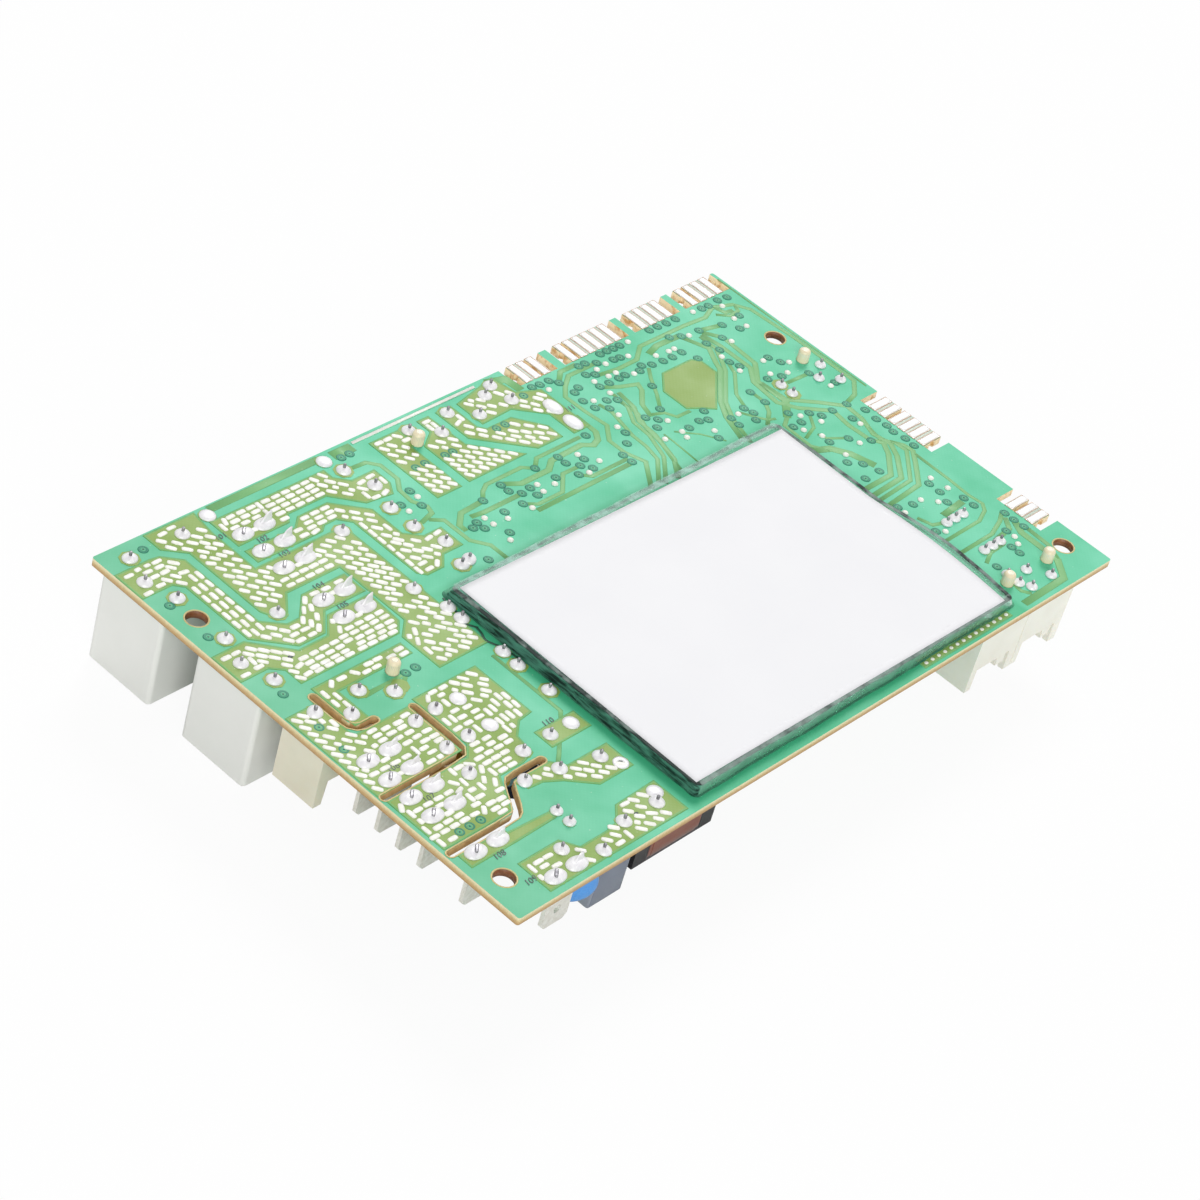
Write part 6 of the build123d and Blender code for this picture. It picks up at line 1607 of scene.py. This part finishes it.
class BOARD_OT_axials(bpy.types.Operator):
    """Makes the lying resistor and diodes: a banded body and a wire bent down at each end"""

    bl_idname = "board.axials"
    bl_label = "Axial Parts"

    def execute(self, context):
        waisted = np.array([(-0.5, 0.45), (-0.49, 0.8), (-0.46, 0.95), (-0.4, 1.0),
                            (-0.32, 0.98), (-0.25, 0.88), (0.0, 0.86), (0.25, 0.88),
                            (0.32, 0.98), (0.4, 1.0), (0.46, 0.95), (0.49, 0.8), (0.5, 0.45)])
        straight = np.array([(-0.5, 0.7), (-0.48, 0.93), (-0.45, 1.0), (-0.3, 1.0), (-0.1, 1.0),
                             (0.1, 1.0), (0.3, 1.0), (0.45, 1.0), (0.48, 0.93), (0.5, 0.7)])
        diode = (2.7, 5.2, straight, "diode body", "black_epoxy")
        parts = [("power_resistor", (17.5, 28.3), (29.0, 27.0), 4.2, 9.0, waisted,
                  "resistor body", "resistor_body"),
                 ("rectifier_diode_1", (61, 8), (61, 18), *diode),
                 ("rectifier_diode_2", (61, 24), (61, 34), *diode)]
        wires = []
        for node, start, end, across, length, profile, body_finish, slot in parts:
            along = between(start, end)
            height = BOARD_UNDER - 0.5 - across / 2
            first, last = np.append(start, height), np.append(end, height)
            count = len(profile)
            shares = np.interp(np.linspace(0, 24, 25), np.linspace(0, 24, count), profile[:, 0])
            reach = np.interp(shares, profile[:, 0], profile[:, 1]) * across / 2
            body = stack(sections((first + last) / 2, along, np.cross(UP, along),
                                  shares * length, reach, oval(28)))
            make_piece(node + "_body", [body], body_finish, [node],
                       marks={"along": np.repeat(shares + 0.5, 28)})
            path = [np.append(start, BOARD_UNDER + 0.3), np.append(start, height + 0.9),
                    first + 0.2 * along, first + 1.2 * along, last - 1.2 * along,
                    last - 0.2 * along, np.append(end, height + 0.9),
                    np.append(end, BOARD_UNDER + 0.3)]
            wires.append(tube(eased(path, 2), 0.36, 10))
        make_piece("axial_wires", wires, "lead metal", [part[0] for part in parts])
        return {"FINISHED"}


def make_chip(node, bodies, leads, spot):
    """A moulded chip in three pieces: its body, its white spot of (place, radius, points),
    and its leads."""
    place, radius, count = spot
    floor = box_of(node)[0][2]
    mark = turned_solid(place, [(radius, floor - 0.02), (radius + 0.05, floor + 0.1)], count)
    make_piece(node + "_body", bodies, "black epoxy", [node])
    make_piece(node + "_spot", [mark], "white print", [node])
    make_piece(node + "_leads", leads, "lead metal", [node])


class BOARD_OT_chips(bpy.types.Operator):
    """Makes the moulded parts: controller, optocoupler, regulator and crystal can"""

    bl_idname = "board.chips"
    bl_label = "Moulded Chips"

    def execute(self, context):
        self.make_controller()
        self.make_optocoupler()
        self.make_regulator()
        self.make_crystal()
        return {"FINISHED"}

    def make_controller(self):
        """A flat square body with eleven bent leads on each side"""
        low, high = box_of("microcontroller")
        x, y = ((low + high) / 2)[:2]
        half, drawn, pitch = 5.0, 0.12, 0.8
        body = block([x - half, y - half, low[2]], [x + half, y + half, high[2] - 0.1], 0.16, drawn)
        drop = [(4.9, low[2] + 0.7), (5.35, low[2] + 0.7), (5.55, low[2] + 0.85),
                (5.65, high[2] - 0.2), (5.8, high[2] - 0.09), (6.0, high[2] - 0.08)]
        leads = []
        for quarter in np.radians(90 * np.arange(4)):
            out = np.array([np.cos(quarter), np.sin(quarter), 0.0])
            wide = np.cross(UP, out)
            for i in range(-5, 6):
                path = [np.array([x, y, 0.0]) + out * reach + wide * pitch * i + UP * z
                        for reach, z in drop]
                leads.append(flat_lead(path, wide, 0.36, 0.14))
        make_chip("microcontroller", [body], leads, ((x - 3.6, y + 3.6), 0.55, 20))

    def make_optocoupler(self):
        """Two tapering halves with three leads on each side"""
        low, high = box_of("optocoupler")
        x, y = ((low + high) / 2)[:2]
        pitch, top = 2.54, BOARD_UNDER - 0.3
        waist = top - 1.75
        lower = block([x - 3.65, y - 3.25, low[2]], [x + 3.65, y + 3.25, waist + 0.15], 0.14, 0.35)
        upper = stack(sections([x, y, 0.0], UP, [1.0, 0.0, 0.0],
                               [waist + 0.05, waist + 0.2, top - 0.15, top],
                               [(3.65, 3.25), (3.63, 3.23), (3.4, 3.0), (3.2, 2.8)],
                               oval(28, 14)))
        drop = [(3.1, waist), (4.2, waist), (4.62, waist + 0.12), (4.7, waist + 0.5),
                (4.7, top + 0.5)]
        leads = [flat_lead([[x + pitch * i, y + side * reach, z] for reach, z in drop],
                           [-side, 0.0, 0.0], 0.9, 0.25) for side in (-1, 1) for i in (-1, 0, 1)]
        make_chip("optocoupler", [lower, upper], leads, ((x - 2.5, y + 2.0), 0.4, 16))

    def make_regulator(self):
        """A moulded body on a drilled tab, with three flat leads"""
        low, high = box_of("voltage_regulator")
        x, y, floor = (low[0] + high[0]) / 2, (low[1] + high[1]) / 2, low[2]
        pitch, top = 2.54, BOARD_UNDER - 4.0
        body = block([x - 5, low[1], top - 9.2], [x + 5, high[1] - 1.25, top], 0.3)
        square = oval(48) / np.abs(oval(48)).max(-1, keepdims=True) * [5.0, 4.0]
        hole = np.array([x, floor + 2.8])
        outer = np.clip(hole + square * [1, 2], [x - 5, floor], [x + 5, top])
        inner = hole + 1.8 * oval(48)
        back, front = high[1], high[1] - 1.3
        tab = stack([raised(loop, depth)[:, [0, 2, 1]] for loop, depth in
                     ((outer, back), (outer, front), (inner, front), (inner, back))], closed=True)
        leads = [flat_lead([[x + pitch * i, y - 0.3, top + z] for z in rises],
                           [1.0, 0.0, 0.0], wide, thick)
                 for i in (-1, 0, 1) for rises, wide, thick in (
                     ((-0.3, 1.2, 4.3), 0.9, 0.5), ((-0.2, 0.6, 1.1), 1.3, 0.52))]
        make_piece("regulator_body", [body], "black epoxy", ["voltage_regulator"])
        make_piece("regulator_tab", [tab], "can metal", ["voltage_regulator"], False)
        make_piece("regulator_leads", leads, "lead metal", ["voltage_regulator"],
                   False)

    def make_crystal(self):
        """A long drawn can on its flange"""
        low, high = box_of("crystal")
        middle, tall = (low + high) / 2, BOARD_UNDER - low[2]
        levels = [(0.5, 0.0), (0.3, 0.06), (0.2, 0.4), (0.19, tall - 0.75), (0.04, tall - 0.6),
                  (0.0, tall - 0.5), (0.0, tall - 0.12), (0.06, tall - 0.02)]
        can = domes([middle[:2]], 11.0, 4.6, 0, levels, low[2], 40, 3.2)
        make_piece("crystal_can", [can], "can metal", ["crystal"])


class BOARD_OT_transformer(bpy.types.Operator):
    """Wraps the transformer: tape round the core's halves and round the winding"""

    bl_idname = "board.transformer"
    bl_label = "Transformer Tape"

    def execute(self, context):
        low, high = box_of("transformer_core")
        middle, half = (low + high) / 2, (high - low) / 2
        wraps = []
        # two layers, the upper one shorter
        for reach, lift in ((half[0] - 0.25, 0.05), (half[0] - 1.1, 0.1)):
            over = np.array([-0.12, lift, lift, -0.12])
            reaches = np.stack([half[1] + over, half[2] + over], -1)
            rings = sections(middle, [1.0, 0.0, 0.0], [0.0, 1.0, 0.0],
                             [-reach, -reach, reach, reach], reaches, oval(56, 14))
            wraps.append(stack(rings, closed=True))
        make_piece("core_tape", wraps, "taped core", smooth=False)
        low, high = box_of("transformer_winding")
        middle, half = (low + high) / 2, (high - low) / 2
        # six bulges of the wire under the tape, and rounded ends
        steps = np.linspace(-half[1], half[1], 25)
        ripple = 0.07 * np.abs(np.sin(np.linspace(0, 6 * np.pi, 25)))
        rounded = 0.35 * (np.abs(steps) / half[1]) ** 12
        reaches = np.stack([half[0] - ripple - rounded, half[2] - ripple - rounded], -1)
        inner = np.full((2, 2), [7.5, 2.4])
        rings = sections(middle, [0.0, 1.0, 0.0], [0.0, 0.0, 1.0],
                         np.concatenate([steps, steps[[-1, 0]]]),
                         np.concatenate([reaches, inner])[:, ::-1], oval(48, 4.5))
        make_piece("winding_wrap", [stack(rings, closed=True)], "winding tape",
                   ["transformer_winding"])
        return {"FINISHED"}


def inner_block(low, high, inset, bottom, top, edge):
    """A block inside a box's plan, drawn in all round by the inset."""
    return block([low[0] + inset, low[1] + inset, bottom],
                 [high[0] - inset, high[1] - inset, top], edge)


class BOARD_OT_boxes(bpy.types.Operator):
    """Makes the film capacitor: a moulded box with a rim and feet, and its resin fill"""

    bl_idname = "board.boxes"
    bl_label = "Film Capacitor"

    def execute(self, context):
        low, high = box_of("film_capacitor")
        top = BOARD_UNDER - 0.02
        body = block(low, [high[0], high[1], top - 0.45], 0.2, 0.05)
        end = block([low[0] + 0.3, low[1] - 0.02, low[2] + 0.3],
                    [high[0] - 0.3, low[1] + 1.0, top - 1.3], 0.1)
        rim = inner_block(low, high, 0.02, top - 1.1, top - 0.4, 0.16)
        feet = [block([x, y, top - 0.6], [x + 1.3, y + 1.3, top], 0.1)
                for x in (low[0] + 0.2, high[0] - 1.5) for y in (low[1] + 0.2, high[1] - 1.5)]
        resin = inner_block(low, high, 0.7, top - 0.8, top - 0.32, 0.1)
        make_piece("film_capacitor_box", [body, rim] + feet, "capacitor box",
                   ["film_capacitor"])
        make_piece("film_capacitor_resin", [resin, end], "potting resin", ["film_capacitor"])
        return {"FINISHED"}


# ---- Print ---------------------------------------------------------------------------
def number_body(text, place, height, base):
    """Plain digits as a thin solid: set as text, made mesh, then put in their place."""
    digit_height = 0.7
    curve = bpy.data.curves.new("number", "FONT")
    curve.body, curve.extrude, curve.resolution_u = text, 0.008, 2
    curve.align_x, curve.align_y, curve.shear = "CENTER", "CENTER", 0.18
    holder = bpy.data.objects.new("number", curve)
    mesh = bpy.data.meshes.new_from_object(holder)
    mesh.calc_loop_triangles()
    points = np.zeros(len(mesh.vertices) * 3)
    faces = np.zeros(len(mesh.loop_triangles) * 3, np.int32)
    mesh.vertices.foreach_get("co", points)
    mesh.loop_triangles.foreach_get("vertices", faces)
    for made, kind in ((holder, "objects"), (curve, "curves"), (mesh, "meshes")):
        getattr(bpy.data, kind).remove(made)
    points = points.reshape(-1, 3) * height / digit_height
    points[:, :2] += place
    points[:, 2] += base
    return points, [faces.reshape(-1, 3)]


class BOARD_OT_outlines(bpy.types.Operator):
    """Prints each part's outline and a plain number on the component side"""

    bl_idname = "board.outlines"
    bl_label = "Printed Outlines"

    def execute(self, context):
        round_kinds = ("bulk", "output", "small")
        kinds = round_kinds + (
            "relay_case", "film", "transformer_core", "left_header", "rear_header",
            "right_header", "front_header", "disc", "varistor", "thermistor", "crystal",
            "microcontroller", "optocoupler", "voltage", "power_resistor", "rectifier")
        printed = [node for node in sorted(NODES)
                   if node.startswith(kinds) and not node.endswith("_contacts")]
        bodies = []
        for count, node in enumerate(printed, 1):
            low, high = box_of(node)
            unit = oval(40, 2.0 if node.startswith(round_kinds) else 12.0)
            reach = (high - low)[:2] / 2 + 0.6
            loop = np.clip((low + high)[:2] / 2 + unit * reach, 0.5,
                           [BOARD_LONG - 0.5, BOARD_WIDE - 0.5])
            # mirrored through the board's underside, with the faces turned to stay outward
            points, faces = ribbon(loop, 0.25, 0.03, BOARD_UNDER, True)
            bodies.append((points * [1, 1, -1] + [0, 0, 2 * BOARD_UNDER],
                           [part[:, ::-1] for part in faces]))
            place = np.clip([(low[0] + high[0]) / 2, high[1] + 1.9], 3.0, [161.0, 101.5])
            points, faces = number_body(str(count), place, 1.4, 0.0)
            bodies.append((points * [-1, 1, -1] + [2 * place[0], 0, BOARD_UNDER - 0.015], faces))
        make_piece("printed_outlines", bodies, "white print", smooth=False)
        return {"FINISHED"}


class BOARD_OT_legends(bpy.types.Operator):
    """Prints plain numbers beside the terminals, and adds the spare pad, painted shade in its
    hole, and ink spots
    """

    bl_idname = "board.legends"
    bl_label = "Printed Numbers"

    def execute(self, context):
        numbers = [number_body(str(count), place, 1.25, DECK + 0.02)
                   for count, place in enumerate(number_places, 101)]
        make_piece("printed_numbers", numbers, "black print", smooth=False)
        pad = np.array([[41.3, 15.5]])
        rings = [raised(reach * oval(28) + pad, DECK + rise) for reach, rise in
                 ((1.5, -0.02), (1.42, 0.14), (0.6, 0.12), (0.52, -0.02))]
        make_piece("spare_pad", [stack(rings, closed=True)], "solder")
        # painted shade: a dark disc in the spare pad's hole
        pad_hole_shade = domes(pad, 1.1, 1.1, 0, [(0.0, -0.02), (0.1, 0.03)], DECK, 16, 2.0)
        spots = domes([(11.8, 66.0), (42.2, 75.4), (34.4, 5.6)], [1.3, 1.1, 1.0],
                      [0.8, 0.9, 0.6], [0, 20, 0], [(0.0, 0.0), (0.3, 0.05), (0.8, 0.06)],
                      DECK, 14, 2.0)
        make_piece("ink_spots_and_hole_shade", [pad_hole_shade, spots], "black print")
        return {"FINISHED"}


OPERATORS = [BOARD_OT_stage, BOARD_OT_finishes, BOARD_OT_tinned_pattern, BOARD_OT_tracks,
             BOARD_OT_solder_joints, BOARD_OT_edge_contacts, BOARD_OT_cover, BOARD_OT_slots,
             BOARD_OT_cans, BOARD_OT_discs, BOARD_OT_axials, BOARD_OT_chips,
             BOARD_OT_transformer, BOARD_OT_boxes, BOARD_OT_outlines, BOARD_OT_legends]


# ---- Panel and registration ----------------------------------------------------------
class BOARD_PT_panel(bpy.types.Panel):
    """Lists the pieces of the power board"""

    bl_idname = "BOARD_PT_panel"
    bl_label = "Oven Power Board"
    bl_space_type = "VIEW_3D"
    bl_region_type = "UI"
    bl_category = "Oven Board"

    def draw(self, context):
        for group in GROUPS:
            settings = getattr(context.scene, group)
            for name in settings.__annotations__:
                self.layout.prop(settings, name)
        for operator in OPERATORS:
            self.layout.operator(operator.bl_idname)


GROUPS = {"power_board_colours": PowerBoardColours, "power_board_solder": PowerBoardSolder,
          "power_board_cover": PowerBoardCover, "power_board_stage": PowerBoardStage}


def register():
    for name, group in GROUPS.items():
        bpy.utils.register_class(group)
        setattr(bpy.types.Scene, name, bpy.props.PointerProperty(type=group))
    for kind in OPERATORS + [BOARD_PT_panel]:
        bpy.utils.register_class(kind)


def unregister():
    for kind in reversed(OPERATORS + [BOARD_PT_panel]):
        bpy.utils.unregister_class(kind)
    for name, group in GROUPS.items():
        delattr(bpy.types.Scene, name)
        bpy.utils.unregister_class(group)


def main():
    register()
    for operator in OPERATORS:
        family, name = operator.bl_idname.split(".")
        getattr(getattr(bpy.ops, family), name)()


if __name__ == "__main__":
    main()
